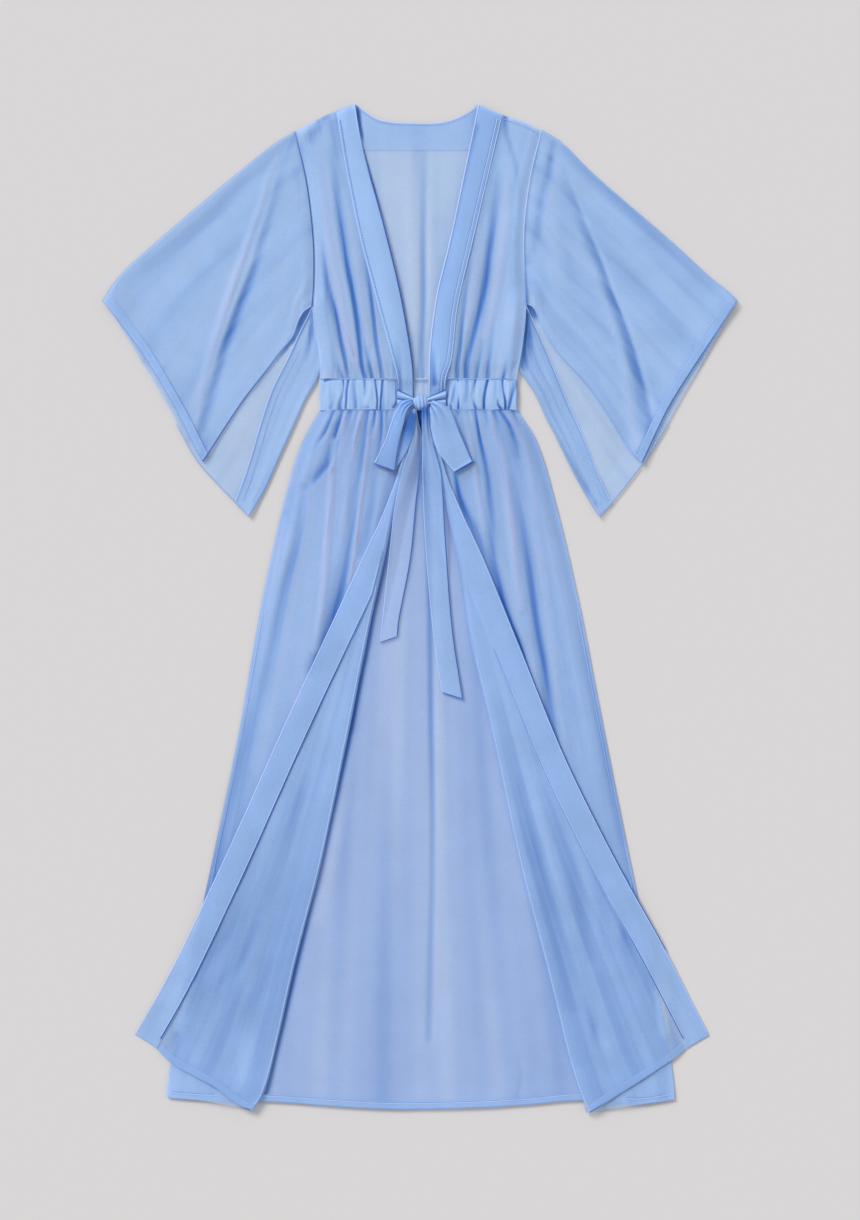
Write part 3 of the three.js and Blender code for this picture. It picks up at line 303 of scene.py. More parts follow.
                   (178, -78), (182, -110), (186, -142), (191, -171), (195, -206)], left=14.3, right=10.4,
             cloth=(0.15, 0.55, 0.75, 0.8, 0.85, 0.8, 0.75), taper=(0.8, 1, 1, 1.1)),
        dict(line=[(54, 284), (53, 258)], left=6.5, right=6.5, cloth=(0.7, 0.1, 0.05)),
        dict(line=[(66, 289), (72, 258), (76, 229)], left=6.5, right=6.5, cloth=(0.4, 0.2, 0.05)),
        # Painted shadow of the right loop and of the band's free edge
        dict(line=[(51, 194), (56, 162), (66, 138), (76, 116), (91, 80), (107, 44)], left=10.4, right=11.7,
             cloth=(0.7, 0.95, 0.85, 0.6, 0.2), taper=(0.7, 1, 1)),
        dict(line=[(105, 261), (118, 223), (125, 175), (131, 120), (137, 59), (146, 0)], left=11.7,
             right=11.7, cloth=(-0.5, -0.9, -0.9, -0.6)),
        dict(line=[(66, 284), (72, 244), (79, 200), (85, 157), (92, 113)], left=7.8, right=6.5,
             cloth=(-0.5, -0.9, -0.8, -0.4)),
        dict(line=[(143, 273), (153, 229), (160, 178), (169, 113), (181, 41), (191, -46), (202, -133)],
             left=11.7, right=11.7, cloth=(-0.2, -0.5, -0.5, -0.4, -0.2)),
        dict(line=[(239, -46), (260, -141), (279, -235), (299, -329)], left=20.8, right=5.2,
             cloth=(0.1, 0.3, 0.25)),
    ],
    "skirt_back": [
        # Painted shade in the hollow under the knot, between the tails
        dict(line=[(-4, 290), (-3, 273), (1, 252)], left=9.1, right=9.1, cloth=(1.5, 1.5, 0.9),
             taper=(1, 1, 0.5)),
        dict(line=[(7, 289), (9, 186), (12, 70), (14, -46), (15, -162), (17, -278), (17, -394), (14, -510),
                   (11, -626)], left=7.8, right=7.8, cloth=(0.45, 0.6, 0.25), taper=(0.9, 1, 1)),
        dict(line=[(24, 70), (28, -133), (30, -351)], left=11.7, right=11.7, cloth=(-0.1, -0.25, -0.1)),
        # Painted shadow of the left flap's raised fold on the back
        dict(line=[(-36, 188), (-43, 128), (-53, 70), (-69, -3), (-79, -61), (-92, -122), (-109, -209),
                   (-124, -276), (-140, -344), (-159, -423), (-175, -492), (-194, -571), (-211, -644),
                   (-228, -716)], left=3.9, right=9.1, cloth=(0.8, 0.95, 0.85), taper=(0.9, 1, 1)),
        dict(line=[(-99, -191), (-123, -322), (-149, -452)], left=18.2, right=18.2,
             cloth=(-0.15, -0.3, -0.15)),
        dict(line=[(140, -641), (144, -684), (138, -713)], left=6.5, right=6.5, cloth=(0.02, 0.12, 0.15)),
    ],
    "bodice_back": [
        dict(line=[(5, 657), (5, 606), (4, 534), (4, 447), (2, 381), (2, 334)], left=10.4, right=7.8,
             cloth=(0.1, 0.55, 0.6), taper=(1, 1, 0.9)),
        dict(line=[(14, 606), (14, 505), (12, 403)], left=7.8, right=7.8, cloth=(-0.1, -0.35, -0.2)),
        dict(line=[(-18, 664), (-15, 592), (-12, 505), (-11, 403)], left=18.2, right=15.6,
             cloth=(-0.05, -0.3, -0.3)),
        dict(line=[(-4, 352), (-4, 332)], left=3.9, right=3.9, cloth=(0.1, 0.25, 0.3)),
        # Painted shadow of the left front's raised edge on the back
        dict(line=[(-86, 676), (-53, 555), (-28, 452), (-12, 358), (-10, 332)], left=5.2, right=2.3,
             cloth=(1, 1), taper=(1, 1)),
    ],
    "left_sleeve": [
        dict(line=[(-201, 642), (-208, 606), (-218, 570), (-230, 534), (-241, 497), (-253, 465), (-265, 435),
                   (-278, 399), (-289, 365), (-299, 331), (-308, 302), (-315, 273), (-321, 246)], left=7.8,
             right=15.6, cloth=(0.15, 0.85, 0.5), taper=(0.8, 1, 1.2)),
        dict(line=[(-205, 657), (-221, 621), (-231, 584), (-244, 548), (-256, 512), (-266, 483), (-276, 454),
                   (-289, 415), (-302, 374), (-314, 331), (-324, 290)], left=11.7, right=7.8,
             cloth=(-0.3, -0.9, -0.3), taper=(0.7, 1, 1)),
        dict(line=[(-188, 676), (-221, 641), (-262, 608), (-298, 573), (-341, 536), (-381, 502), (-418, 470)],
             left=14.3, right=18.2, cloth=(0.2, 0.5, 0.1), taper=(0.7, 1, 1)),
        dict(line=[(-181, 682), (-191, 661), (-198, 638)], left=6.5, right=7.8, cloth=(0.3, 0.3, 0.1)),
        dict(line=[(-160, 490), (-169, 464), (-181, 439), (-189, 410)], left=7.8, right=9.1,
             cloth=(-0.1, -0.6, -0.2)),
        dict(line=[(-189, 490), (-204, 432), (-230, 381), (-254, 338)], left=20.8, right=20.8,
             cloth=(-0.05, -0.15, -0.1)),
        dict(line=[(-381, 326), (-372, 342), (-360, 355)], left=6.5, right=6.5, cloth=(0.5, 0.3, 0.05)),
        dict(line=[(-320, 215), (-312, 232), (-301, 246)], left=10.4, right=10.4, cloth=(0.7, 0.4, 0.1)),
        dict(line=[(-181, 652), (-178, 621), (-170, 584)], left=9.1, right=9.1, cloth=(0.05, 0.2, 0.05)),
    ],
    "right_sleeve": [
        dict(line=[(208, 635), (217, 609), (227, 581), (240, 548), (252, 521), (263, 494), (276, 458),
                   (289, 426), (301, 393), (310, 364), (320, 325), (327, 294), (334, 265)], left=18.2,
             right=6.5, cloth=(0.1, 0.75, 0.5), taper=(0.8, 0.9, 1.4)),
        dict(line=[(254, 476), (269, 439), (282, 403), (294, 357), (302, 309), (308, 265), (314, 236)],
             left=13, right=11.7, cloth=(-0.05, -0.35, -0.3)),
        dict(line=[(192, 671), (189, 650), (186, 628), (178, 603), (173, 573), (169, 541), (163, 519),
                   (154, 500)], left=13, right=11.7, cloth=(0.4, 0.35, 0.2), taper=(0.7, 1, 0.7)),
        dict(line=[(188, 661), (188, 650), (186, 638)], left=9.1, right=9.1, cloth=(0.1, 0.4, 0.1)),
        dict(line=[(175, 476), (176, 450), (179, 423)], left=9.1, right=10.4, cloth=(0.05, 0.15, 0.05)),
        dict(line=[(160, 664), (159, 613), (162, 570)], left=10.4, right=10.4, cloth=(-0.05, -0.25, -0.05)),
        dict(line=[(211, 661), (253, 616), (297, 577), (340, 536), (384, 500), (423, 464)], left=18.2,
             right=18.2, cloth=(0.15, 0.3, 0.1)),
        dict(line=[(192, 621), (189, 563), (196, 505), (205, 447)], left=18.2, right=20.8,
             cloth=(-0.1, -0.3, -0.1)),
        dict(line=[(205, 570), (214, 519), (221, 461)], left=15.6, right=15.6, cloth=(0.02, 0.12, 0.02)),
        dict(line=[(456, 439), (442, 415), (428, 392)], left=11.7, right=6.5, cloth=(0.3, 0.2, 0.05)),
        dict(line=[(336, 273), (330, 244), (321, 222)], left=11.7, right=9.1, cloth=(0.2, 0.35, 0.4)),
    ],
    "neck_facing": [
        # Painted shadow beside the raised left neck edge
        dict(line=[(-95, 734), (-91, 721), (-89, 709), (-87, 697), (-85, 687), (-83, 677)], left=7.2,
             right=7.2, cloth=(1.5, 1.5, 1.4, 1.2, 1.3, 0.7), taper=(0.8, 1, 0.8, 0.6, 0.7, 0.4)),
        dict(line=[(86, 726), (79, 708), (72, 689)], left=15.6, right=7.8, cloth=(0.4, 0.3, 0.05)),
        dict(line=[(-51, 696), (-8, 692), (43, 696)], left=18.2, right=18.2, cloth=(0.08, 0.14, 0.08)),
    ],
    "band_left": [
        dict(line=[(-34, 381), (-31, 360), (-30, 334), (-30, 309)], left=11.7, right=6.5,
             cloth=(0.1, 0.4, 0.5), taper=(1, 1, 0.8)),
        dict(line=[(-102, 719), (-99, 696)], left=13, right=13, cloth=(0.12, 0.1)),
        dict(line=[(-79, 693), (-51, 570), (-27, 461)], left=13, right=13, cloth=(-0.1, -0.12, -0.05)),
    ],
    "band_right": [
        dict(line=[(17, 374), (18, 351), (20, 325)], left=7.8, right=6.5, cloth=(0.1, 0.4, 0.5)),
        dict(line=[(78, 696), (69, 661), (59, 618), (47, 567), (38, 519), (28, 461)], left=10.4, right=11.7,
             cloth=(0.4, 0.3, 0.05)),
    ],
    "left_sleeve_under": [
        # Painted shade in the armpit, beside the bodice's flank
        dict(line=[(-157, 439), (-166, 425), (-176, 406), (-185, 389)], left=15.6, right=14.3,
             cloth=(1.2, 1.1, 0.6), taper=(0.8, 1, 0.7)),
        dict(line=[(-186, 393), (-195, 377), (-207, 362)], left=6.5, right=7.8, cloth=(0.9, 0.8, 0.2)),
        dict(line=[(-247, 302), (-269, 244)], left=26, right=26, cloth=(-0.2, -0.2)),
    ],
    "left_sleeve_strip": [
        # Painted shade on the strip beside the bodice's flank
        dict(line=[(-157, 434), (-158, 410), (-160, 386), (-166, 360)], left=7.8, right=6.5,
             cloth=(0.6, 0.9, 0.2), taper=(0.6, 1, 1)),
        dict(line=[(-156, 435), (-170, 407), (-182, 381)], left=3.9, right=5.2, cloth=(-0.7, -0.5, -0.1)),
        dict(line=[(-163, 429), (-173, 403), (-183, 374)], left=5.2, right=5.2, cloth=(0.6, 0.4, 0.1)),
        dict(line=[(-149, 342), (-175, 284), (-204, 226), (-230, 171), (-244, 139)], left=5.2, right=11.7,
             cloth=(0.5, 0.35, 0.5), taper=(1, 1, 1.3)),
    ],
    "right_sleeve_under": [
        # Painted shade in the armpit, beside the bodice's flank
        dict(line=[(155, 438), (161, 430), (169, 416)], left=9.1, right=9.1, cloth=(1.5, 1.5, 0.3),
             taper=(0.8, 1, 1)),
        dict(line=[(246, 244), (260, 200)], left=26, right=26, cloth=(-0.15, -0.15)),
    ],
    "right_sleeve_strip": [
        # Painted shade on the strip beside the bodice's flank
        dict(line=[(154, 435), (154, 410), (152, 381), (147, 351)], left=7.8, right=18.2,
             cloth=(0.7, 0.9, 0.6), taper=(0.6, 1, 0.9)),
        dict(line=[(160, 374), (181, 302), (210, 229), (239, 171)], left=18.2, right=13,
             cloth=(0.1, 0.1, 0.2)),
        dict(line=[(150, 334), (181, 273), (217, 212), (254, 151)], left=7.8, right=6.5,
             cloth=(0.25, 0.2, 0.3)),
    ],
    "left_flap": [
        dict(line=[(-331, -547), (-341, -576), (-350, -608)], left=11.7, right=11.7,
             cloth=(-0.3, -0.8, -0.4)),
        dict(line=[(-143, -206), (-163, -264), (-182, -322), (-196, -365)], left=18.2, right=18.2,
             cloth=(0.05, 0.25, 0.05)),
        dict(line=[(-170, -249), (-181, -286), (-195, -329)], left=11.7, right=11.7, cloth=(0.05, 0.2, 0.05)),
        dict(line=[(-257, -431), (-272, -460), (-291, -493), (-308, -518)], left=13, right=11.7,
             cloth=(0.05, 0.25, 0.05)),
        dict(line=[(-237, -460), (-250, -489), (-269, -522), (-299, -554), (-320, -566)], left=14.3,
             right=11.7, cloth=(0.05, 0.2, 0.05)),
        dict(line=[(-215, -518), (-230, -547), (-250, -583), (-269, -615)], left=14.3, right=14.3,
             cloth=(0.05, 0.18, 0.05)),
        dict(line=[(-201, -249), (-215, -322), (-230, -380), (-247, -431)], left=18.2, right=18.2,
             cloth=(-0.05, -0.2, -0.05)),
        dict(line=[(-218, -423), (-240, -496), (-269, -561), (-298, -597)], left=11.7, right=11.7,
             cloth=(-0.05, -0.25, -0.05)),
        dict(line=[(-266, -409), (-283, -445), (-302, -481)], left=10.4, right=10.4,
             cloth=(-0.02, -0.15, -0.02)),
        dict(line=[(-244, -612), (-253, -655), (-256, -699)], left=18.2, right=18.2,
             cloth=(-0.05, -0.3, -0.1)),
        dict(line=[(-314, -423), (-334, -525), (-352, -612), (-360, -658)], left=9.1, right=9.1,
             cloth=(0.02, 0.15, 0.1)),
    ],
    "right_flap": [
        dict(line=[(340, -539), (349, -580), (353, -615)], left=11.7, right=11.7, cloth=(-0.3, -0.8, -0.4)),
        dict(line=[(115, -148), (133, -220), (150, -293), (167, -358), (186, -431), (202, -503), (217, -576)],
             left=20.8, right=20.8, cloth=(0.1, 0.35, 0.1)),
        dict(line=[(181, -264), (202, -329), (221, -387), (234, -445), (243, -510)], left=16.9, right=16.9,
             cloth=(0.1, 0.3, 0.1)),
        dict(line=[(156, -220), (181, -322), (202, -409), (217, -481)], left=13, right=13,
             cloth=(-0.02, -0.2, -0.05)),
        dict(line=[(239, -351), (260, -423), (275, -496)], left=15.6, right=15.6, cloth=(0.02, 0.15, 0.02)),
        dict(line=[(326, -431), (340, -510), (350, -597)], left=11.7, right=11.7, cloth=(0.05, 0.25, 0.1)),
        dict(line=[(246, -583), (256, -634)], left=10.4, right=10.4, cloth=(0.1, 0.3, 0.1)),
        dict(line=[(260, -612), (278, -655)], left=13, right=13, cloth=(-0.05, -0.3, -0.1)),
        dict(line=[(301, -423), (297, -481), (307, -532)], left=15.6, right=15.6, cloth=(0.1, 0.25, 0.05)),
    ],
}

# Steps of the mesh where its spacing doesn't give them: across narrow pieces and a front's two layers, and
# down the short pleats
MESH_STEPS = dict(hem=5, strip=14, skirt=130, flap=80, tail=18, pleats=36, pleats_down=12, loop=14,
                  loop_under=36, loop_over=40)

# Depth of a fold for its half width, strength of the streaks, and how pale the painted highlight on a fold's
# steeper rim is
FOLD_DEPTH = 0.26
STREAKED = 0.16
RIM_HIGHLIGHT = 0.42

# The bow: edge lines of each hanging end and of each loop, from the knot outwards
KNOT = dict(x=0.3, y=297, wide=24, long=22, high=12)
TAILS = {
    "left": dict(near=[(-11, 288), (-13, 244), (-26, 198), (-37, 149), (-45, 80), (-59, -51)],
                 far=[(-6, 288), (-3, 270), (1, 253), (1, 219), (-6, 151), (-14, 71), (-31, -20),
                      (-33, -42)]),
    "right": dict(near=[(2, 290), (2, 254), (3, 190), (6, 107), (18, -33), (31, -123)],
                  far=[(12, 290), (14, 254), (23, 223), (30, 197), (36, 107), (47, -33), (62, -133)]),
}
LOOPS = {
    "left": dict(under=[[(-13, 290), (-30, 250), (-66, 210)], [(-7, 286), (-12, 246), (-37, 198)]],
                 over=[[(-14, 303), (-29, 299), (-36, 286), (-43, 266), (-52, 240), (-68, 208)],
                       [(-11, 294), (-18, 285), (-24, 268), (-30, 242), (-37, 197)]]),
    "right": dict(under=[[(12, 286), (22, 246), (52, 198)], [(20, 292), (52, 262), (79, 212)]],
                  over=[[(13, 288), (16, 256), (27, 224), (50, 196)],
                        [(18, 301), (38, 292), (58, 252), (76, 211)]]),
}
LOOP_AREA = {"left": 0.0043, "right": 0.0062}
BELOW_BOW = ["skirt_back", "skirt_left", "skirt_right", "band_skirt_left", "band_skirt_right", "casing_back",
             "casing_left", "casing_right", "band_bodice_left", "band_bodice_right", "tail_left",
             "tail_right", "fan_left", "fan_right"]

# Tone of each tail: on the whole, a painted shadow of the knot at its top, and a painted shadow of the loop
# beside it from start to end of its length
TAIL_SHADE = {
    "left": dict(whole=-0.42, top=0.6, side=0.95, start=0.06, end=0.38),
    "right": dict(whole=0.05, top=1.0, side=0.4, start=0.0, end=0.6),
}

# Furrows of the knot: where across it, how wide and how deep, as shares of its half size. The depth also
# paints shade in them.
FURROWS = ((-0.5, 0.16, 0.10), (-0.05, 0.20, 0.14), (0.42, 0.18, 0.16), (0.75, 0.14, 0.12))

# Cloth folded along the upper and the lower seam of each front casing, from the side inwards: above 0 a dark
# seam with painted shade, below 0 a painted highlight
CASING_SEAMS = {
    "left": ((0.2, 0.9, 0.4, 0.2, 0.0, 0.3, -0.1, 0.3, -0.1, 0.0),
             (0.2, 0.2, 0.9, 1.0, 0.6, 0.9, 1.2, 0.5, 0.9)),
    "right": ((0.0, -0.1, 0.3, 0.4, -0.1, 0.5, 0.1, 0.6, 0.0),
              (0.3, 1.1, 1.3, 0.4, 0.9, 0.9, 0.4, 0.8, 0.8)),
}
STITCH_LENGTH = 2.8
STITCH_GAP = 1.3

# The picture: its height in pixels, the size of one in millimetres, and the plan point at its middle
PICTURE_ROWS = 1220
PIXEL_SIZE = 1.45
PICTURE_MIDDLE = (13.8, -2.9)
SENSOR = 36

# The stage: the floor's size and depth in metres, and the soft light's width and tilt in degrees
FLOOR_SIZE = 14
FLOOR_DEPTH = 0.0004
LIGHT_WIDTH = 24
LIGHT_TILT = (-33, -38, 0)
FAN = dict(casing_top=317, casing_bottom=293, knot_top=304, knot_bottom=294, pleats=2, uneven=1.25,
           high=2.4)


# Plan lines and panels

def smooth_line(points, dense=24):
    """A smooth curve through plan points, as a function of the share of its length."""
    known = np.array(points, float)
    ends = [2 * known[0] - known[1], *known, 2 * known[-1] - known[-2]]
    places = [known[:1]]
    for before, start, end, after in zip(ends, ends[1:], ends[2:], ends[3:]):
        step = [max(1e-6, math.dist(a, b)) ** 0.5 for a, b in ((before, start), (start, end), (end, after))]
        leave = (start - before) / step[0] - (end - before) / (step[0] + step[1]) + (end - start) / step[1]
        arrive = (end - start) / step[1] - (after - start) / (step[1] + step[2]) + (after - end) / step[2]
        leave, arrive = leave * step[1], arrive * step[1]
        t = np.linspace(0, 1, dense + 1)[1:, None]
        places.append(start + leave * t + (3 * (end - start) - 2 * leave - arrive) * t**2
                      + (2 * (start - end) + leave + arrive) * t**3)
    places = np.concatenate(places)
    reached = np.concatenate([[0], np.cumsum(np.linalg.norm(np.diff(places, axis=0), axis=1))])
    reached /= reached[-1]

    def at(share):
        share = np.clip(share, 0, 1)
        return np.stack([np.interp(share, reached, places[:, k]) for k in (0, 1)], -1)

    return at


def joined(*stretches):
    """Lines end to end, each given with the share of the whole at which it ends."""
    def at(share):
        share = np.asarray(share, float)
        place = None
        start = 0
        for end, edge in stretches:
            found = edge((share - start) / (end - start))
            place = found if place is None else np.where((share > start)[..., None], found, place)
            start = end
        return place

    return at


def beside(edge, distance):
    """A line beside another one, so far to the left as one goes along it."""
    def at(share):
        way = edge(np.minimum(1, share + 0.01)) - edge(np.maximum(0, share - 0.01))
        way /= np.linalg.norm(way, axis=-1, keepdims=True)
        return edge(share) + distance * np.stack([-way[..., 1], way[..., 0]], -1)

    return at


def part(edge, start, end):
    return lambda share: edge(start + (end - start) * np.asarray(share))


def panel(top, bottom, first, last):
    """The plan of a panel between four edges: top and bottom are read across it, first and last down it."""
    a, b, c, d = top(0.0), top(1.0), bottom(0.0), bottom(1.0)

    def plan(across, down):
        u, v = across[..., None], down[..., None]
        corners = (a * (1 - u) + b * u) * (1 - v) + (c * (1 - u) + d * u) * v
        return top(across) * (1 - v) + bottom(across) * v + first(down) * (1 - u) + last(down) * u - corners

    return plan


def between(first, last):
    """The plan of a strip between two lines."""
    return lambda across, down: first(down) + (last(down) - first(down)) * across[..., None]


def rise(value, start, end):
    t = np.clip((np.asarray(value, float) - start) / (end - start), 0, 1)
    return t * t * (3 - 2 * t)


def bump(offset):
    return np.where(np.abs(offset) < 1, (1 + np.cos(np.pi * np.clip(offset, -1, 1))) / 2, 0)


# Heights of what is laid already, on square cells over the plan

CELL = 3.0
HALF_X, HALF_Y = 492.0, 762.0
CELLS = (int(2 * HALF_Y / CELL), int(2 * HALF_X / CELL))
laid = {}

# Plans of pieces that later pieces follow
shared = {}


def cells_at(places):
    column = np.clip(np.rint((places[..., 0] + HALF_X) / CELL).astype(int), 0, CELLS[1] - 1)
    row = np.clip(np.rint((places[..., 1] + HALF_Y) / CELL).astype(int), 0, CELLS[0] - 1)
    return row, column


def halved(points):
    """The same grid with a point put between each two."""
    for axis in (0, 1):
        points = np.moveaxis(points, axis, 0)
        middle = (points[1:] + points[:-1]) / 2
        fuller = np.empty((len(points) + len(middle), *points.shape[1:]))
        fuller[0::2] = points
        fuller[1::2] = middle
        points = np.moveaxis(fuller, 0, axis)
    return points


def marked(points):
    """A height map of a grid of points."""
    heights = np.zeros(CELLS)
    fine = halved(halved(points))
    np.maximum.at(heights, cells_at(fine), fine[..., 2])
    return heights


def near(heights, reach, gather):
    """A height map in which each cell takes the highest or the mean of its neighbours."""
    for axis in (0, 1):
        heights = gather([np.roll(heights, step, axis) for step in range(-reach, reach + 1)], axis=0)
    return heights


class Ground:
    """What a piece lies on: the marked heights, and a soft cover over them."""

    def __init__(self, *maps, reach=2):
        self.marked = near(np.max([np.zeros(CELLS), *maps], axis=0), 1, np.max)
        self.cover = near(near(self.marked, reach, np.max), reach, np.mean)

    def heights(self, places, source):
        column = (places[..., 0] + HALF_X) / CELL
        row = (places[..., 1] + HALF_Y) / CELL
        c = np.clip(np.floor(column).astype(int), 0, CELLS[1] - 2)
        r = np.clip(np.floor(row).astype(int), 0, CELLS[0] - 2)
        u, v = column - c, row - r
        low = source[r, c] * (1 - u) + source[r, c + 1] * u
        high = source[r + 1, c] * (1 - u) + source[r + 1, c + 1] * u
        return low * (1 - v) + high * v


TABLE = Ground()


def on(*names):
    return Ground(*[laid[name] for name in names])


# Sheets: grids of points with how much cloth is folded at each

class Sheet:
    """A grid of points, and for each how much cloth is folded there, which shows deeper, with painted shade,
    or paler, with a painted highlight.
    """

    def __init__(self, points, cloth):
        self.points = points
        self.cloth = cloth

    def beside(self, *others):
        """This sheet and others, row by row in one grid."""
        sheets = [self, *others]
        return Sheet(np.concatenate([sheet.points for sheet in sheets], 1),
                     np.concatenate([sheet.cloth for sheet in sheets], 1))


def evenly(count, start=0.0, end=1.0):
    return np.linspace(start, end, count + 1)


def fold_offsets(points, places):
    """For each place its distance from a line, positive towards +X, and the share of the line there."""
    starts, ways = points[:-1], np.diff(points, axis=0)
    lengths = np.linalg.norm(ways, axis=1)
    reached = np.concatenate([[0], np.cumsum(lengths)])
    to_place = places[:, None, :] - starts
    share = np.clip((to_place * ways).sum(-1) / lengths**2, 0, 1)
    apart = to_place - share[..., None] * ways
    distance = np.linalg.norm(apart, axis=-1)
    nearest = distance.argmin(1)
    row = np.arange(len(places))
    side = ways[nearest, 0] * to_place[row, nearest, 1] - ways[nearest, 1] * to_place[row, nearest, 0]
    side = np.where(side * np.where(ways[nearest, 1] < 0, 1, -1) >= 0, 1, -1)
    along = (reached[nearest] + share[row, nearest] * lengths[nearest]) / reached[-1]
    return distance[row, nearest] * side, along


def spaced(share, values):
    """A value read from evenly spaced ones."""
    return np.interp(share, np.linspace(0, 1, len(values)), values)


def fold_field(folds, places):
    """Cloth folded at each place with its painted shade and painted highlights, and how much the folds raise
    or lower it, in millimetres.
    """
    flat, painted_highlight, height = (np.zeros(places.shape[:-1]) for _ in range(3))
    flat += 1
    for fold in folds:
        line = smooth_line(fold["line"])(evenly(3 * len(fold["line"])))
        taper = fold.get("taper", (1, 1, 1))
        reach = max(fold["left"], fold["right"]) * max(taper)
        low, high = line.min(0) - reach, line.max(0) + reach
        close = ((places > low) & (places < high)).all(-1)
        if not close.any():
            continue
        offset, along = fold_offsets(line, places[close])
        scale = spaced(along, taper)
        wide = np.where(offset < 0, fold["left"], fold["right"]) * scale
        strength = spaced(along, fold["cloth"])
        amount = bump(offset / wide) * strength
        flat[close] *= 1 - np.clip(amount, 0, 1)
        # Cloth below 0 paints a highlight on the fold's crest
        painted_highlight[close] += np.minimum(0, amount)
        steep, narrow = (-1, fold["left"]) if fold["left"] < fold["right"] else (1, fold["right"])
        # A painted highlight along the fold's steeper side
        rim = bump((steep * offset / scale - 1.15 * narrow) / (0.5 * narrow + 1.5))
        painted_highlight[close] -= RIM_HIGHLIGHT * rim * np.clip(strength, 0, 1)
        height[close] -= amount * FOLD_DEPTH * (fold["left"] + fold["right"]) / 2 * np.minimum(1, scale)
    return 1 - flat + np.maximum(-1, painted_highlight), height


def streaks(across, down, seed):
    """Soft uneven tone that runs down a panel, from about -1 to 1."""
    rng = np.random.default_rng(seed)
    tone = np.zeros(across.shape)
    for size in (0.31, 0.17, 0.09, 0.05):
        start, bend = rng.uniform(0, 2 * np.pi, 2)
        wander = 1.5 * np.sin(2 * np.pi * down / 1.7 + bend)
        tone += size**0.5 * np.sin(2 * np.pi * across / size + start + wander)
    return tone


def spread(plan, rows, columns, below, relief=None, folds=(), tone=0, seed=0, air=AIR):
    """A sheet laid by its plan over what is below, with its relief in millimetres, its folds and its tone."""
    across, down = np.meshgrid(columns, rows)
    places = plan(across, down)
    cloth, own = fold_field(folds, places)
    if relief:
        own = own + relief(across, down, places)
    height = below.heights(places, below.cover) + air + np.maximum(0, own)
    height = np.maximum(height, below.heights(places, below.marked) + air)
    cloth = cloth + (tone(across, down) if callable(tone) else tone)
    if seed:
        cloth += STREAKED * streaks(across, down, seed)
    return Sheet(np.concatenate([places, height[..., None]], -1), cloth)


def half_turn(lower, upper, points=5, cloth=0.25):
    """The soft fold that joins the last points of a lower layer to the first points of an upper one."""
    start, before, end = lower.points[:, -1], lower.points[:, -2], upper.points[:, 0]
    along = np.gradient(start[:, :2], axis=0)
    along /= np.linalg.norm(along, axis=1, keepdims=True)
    out = start[:, :2] - before[:, :2]
    out -= (out * along).sum(1, keepdims=True) * along
    out /= np.maximum(1e-9, np.linalg.norm(out, axis=1, keepdims=True))
    out = np.concatenate([out, np.zeros((len(out), 1))], 1)
    middle, half = (start + end) / 2, (start - end) / 2
    radius = np.abs(end[:, 2:] - start[:, 2:]) / 2
    angles = np.linspace(0, np.pi, points + 2)[1:-1]
    turn = np.stack([middle + half * math.cos(a) + out * radius * math.sin(a) for a in angles], 1)
    return Sheet(turn, np.full(turn.shape[:2], cloth))


def folded_over(lower, upper, cloth=0.25):
    """A lower layer and the upper one that it is folded back into, as one sheet."""
    upper.points[:, 0, 2] = np.maximum(upper.points[:, 0, 2], lower.points[:, -1, 2] + 2 * TURN_RADIUS)
    return lower.beside(half_turn(lower, upper, cloth=cloth), upper)


def ripple(across, from_waist, pitch, reach):
    """Fine gathers right beside the elastic: uneven waves that fade out over their reach."""
    wave = np.sin(2 * np.pi * across / pitch + 1.3 * np.sin(23 * across)) * 0.6
    wave += 0.4 * np.sin(2 * np.pi * across / (0.61 * pitch) + 2.1)
    return wave * (1 - rise(from_waist, 0, reach))


def waves(places, amount, seed):
    """Broad, shallow unevenness of cloth that lies loosely."""
    x, y = places[..., 0] / 1000, places[..., 1] / 1000
    rng = np.random.default_rng(seed)
    height = np.zeros(x.shape)
    for size in (0.16, 0.11, 0.07):
        angle, shift = rng.uniform(0, np.pi), rng.uniform(0, 2 * np.pi, 2)
        along = x * math.cos(angle) + y * math.sin(angle)
        cross = y * math.cos(angle) - x * math.sin(angle)
        bend = 0.6 * np.sin(cross / (1.7 * size) * np.pi + shift[1])
        height += size / 0.16 * np.sin(2 * np.pi * along / size + shift[0] + bend)
    return amount * height / 2


# Settings that a user would change

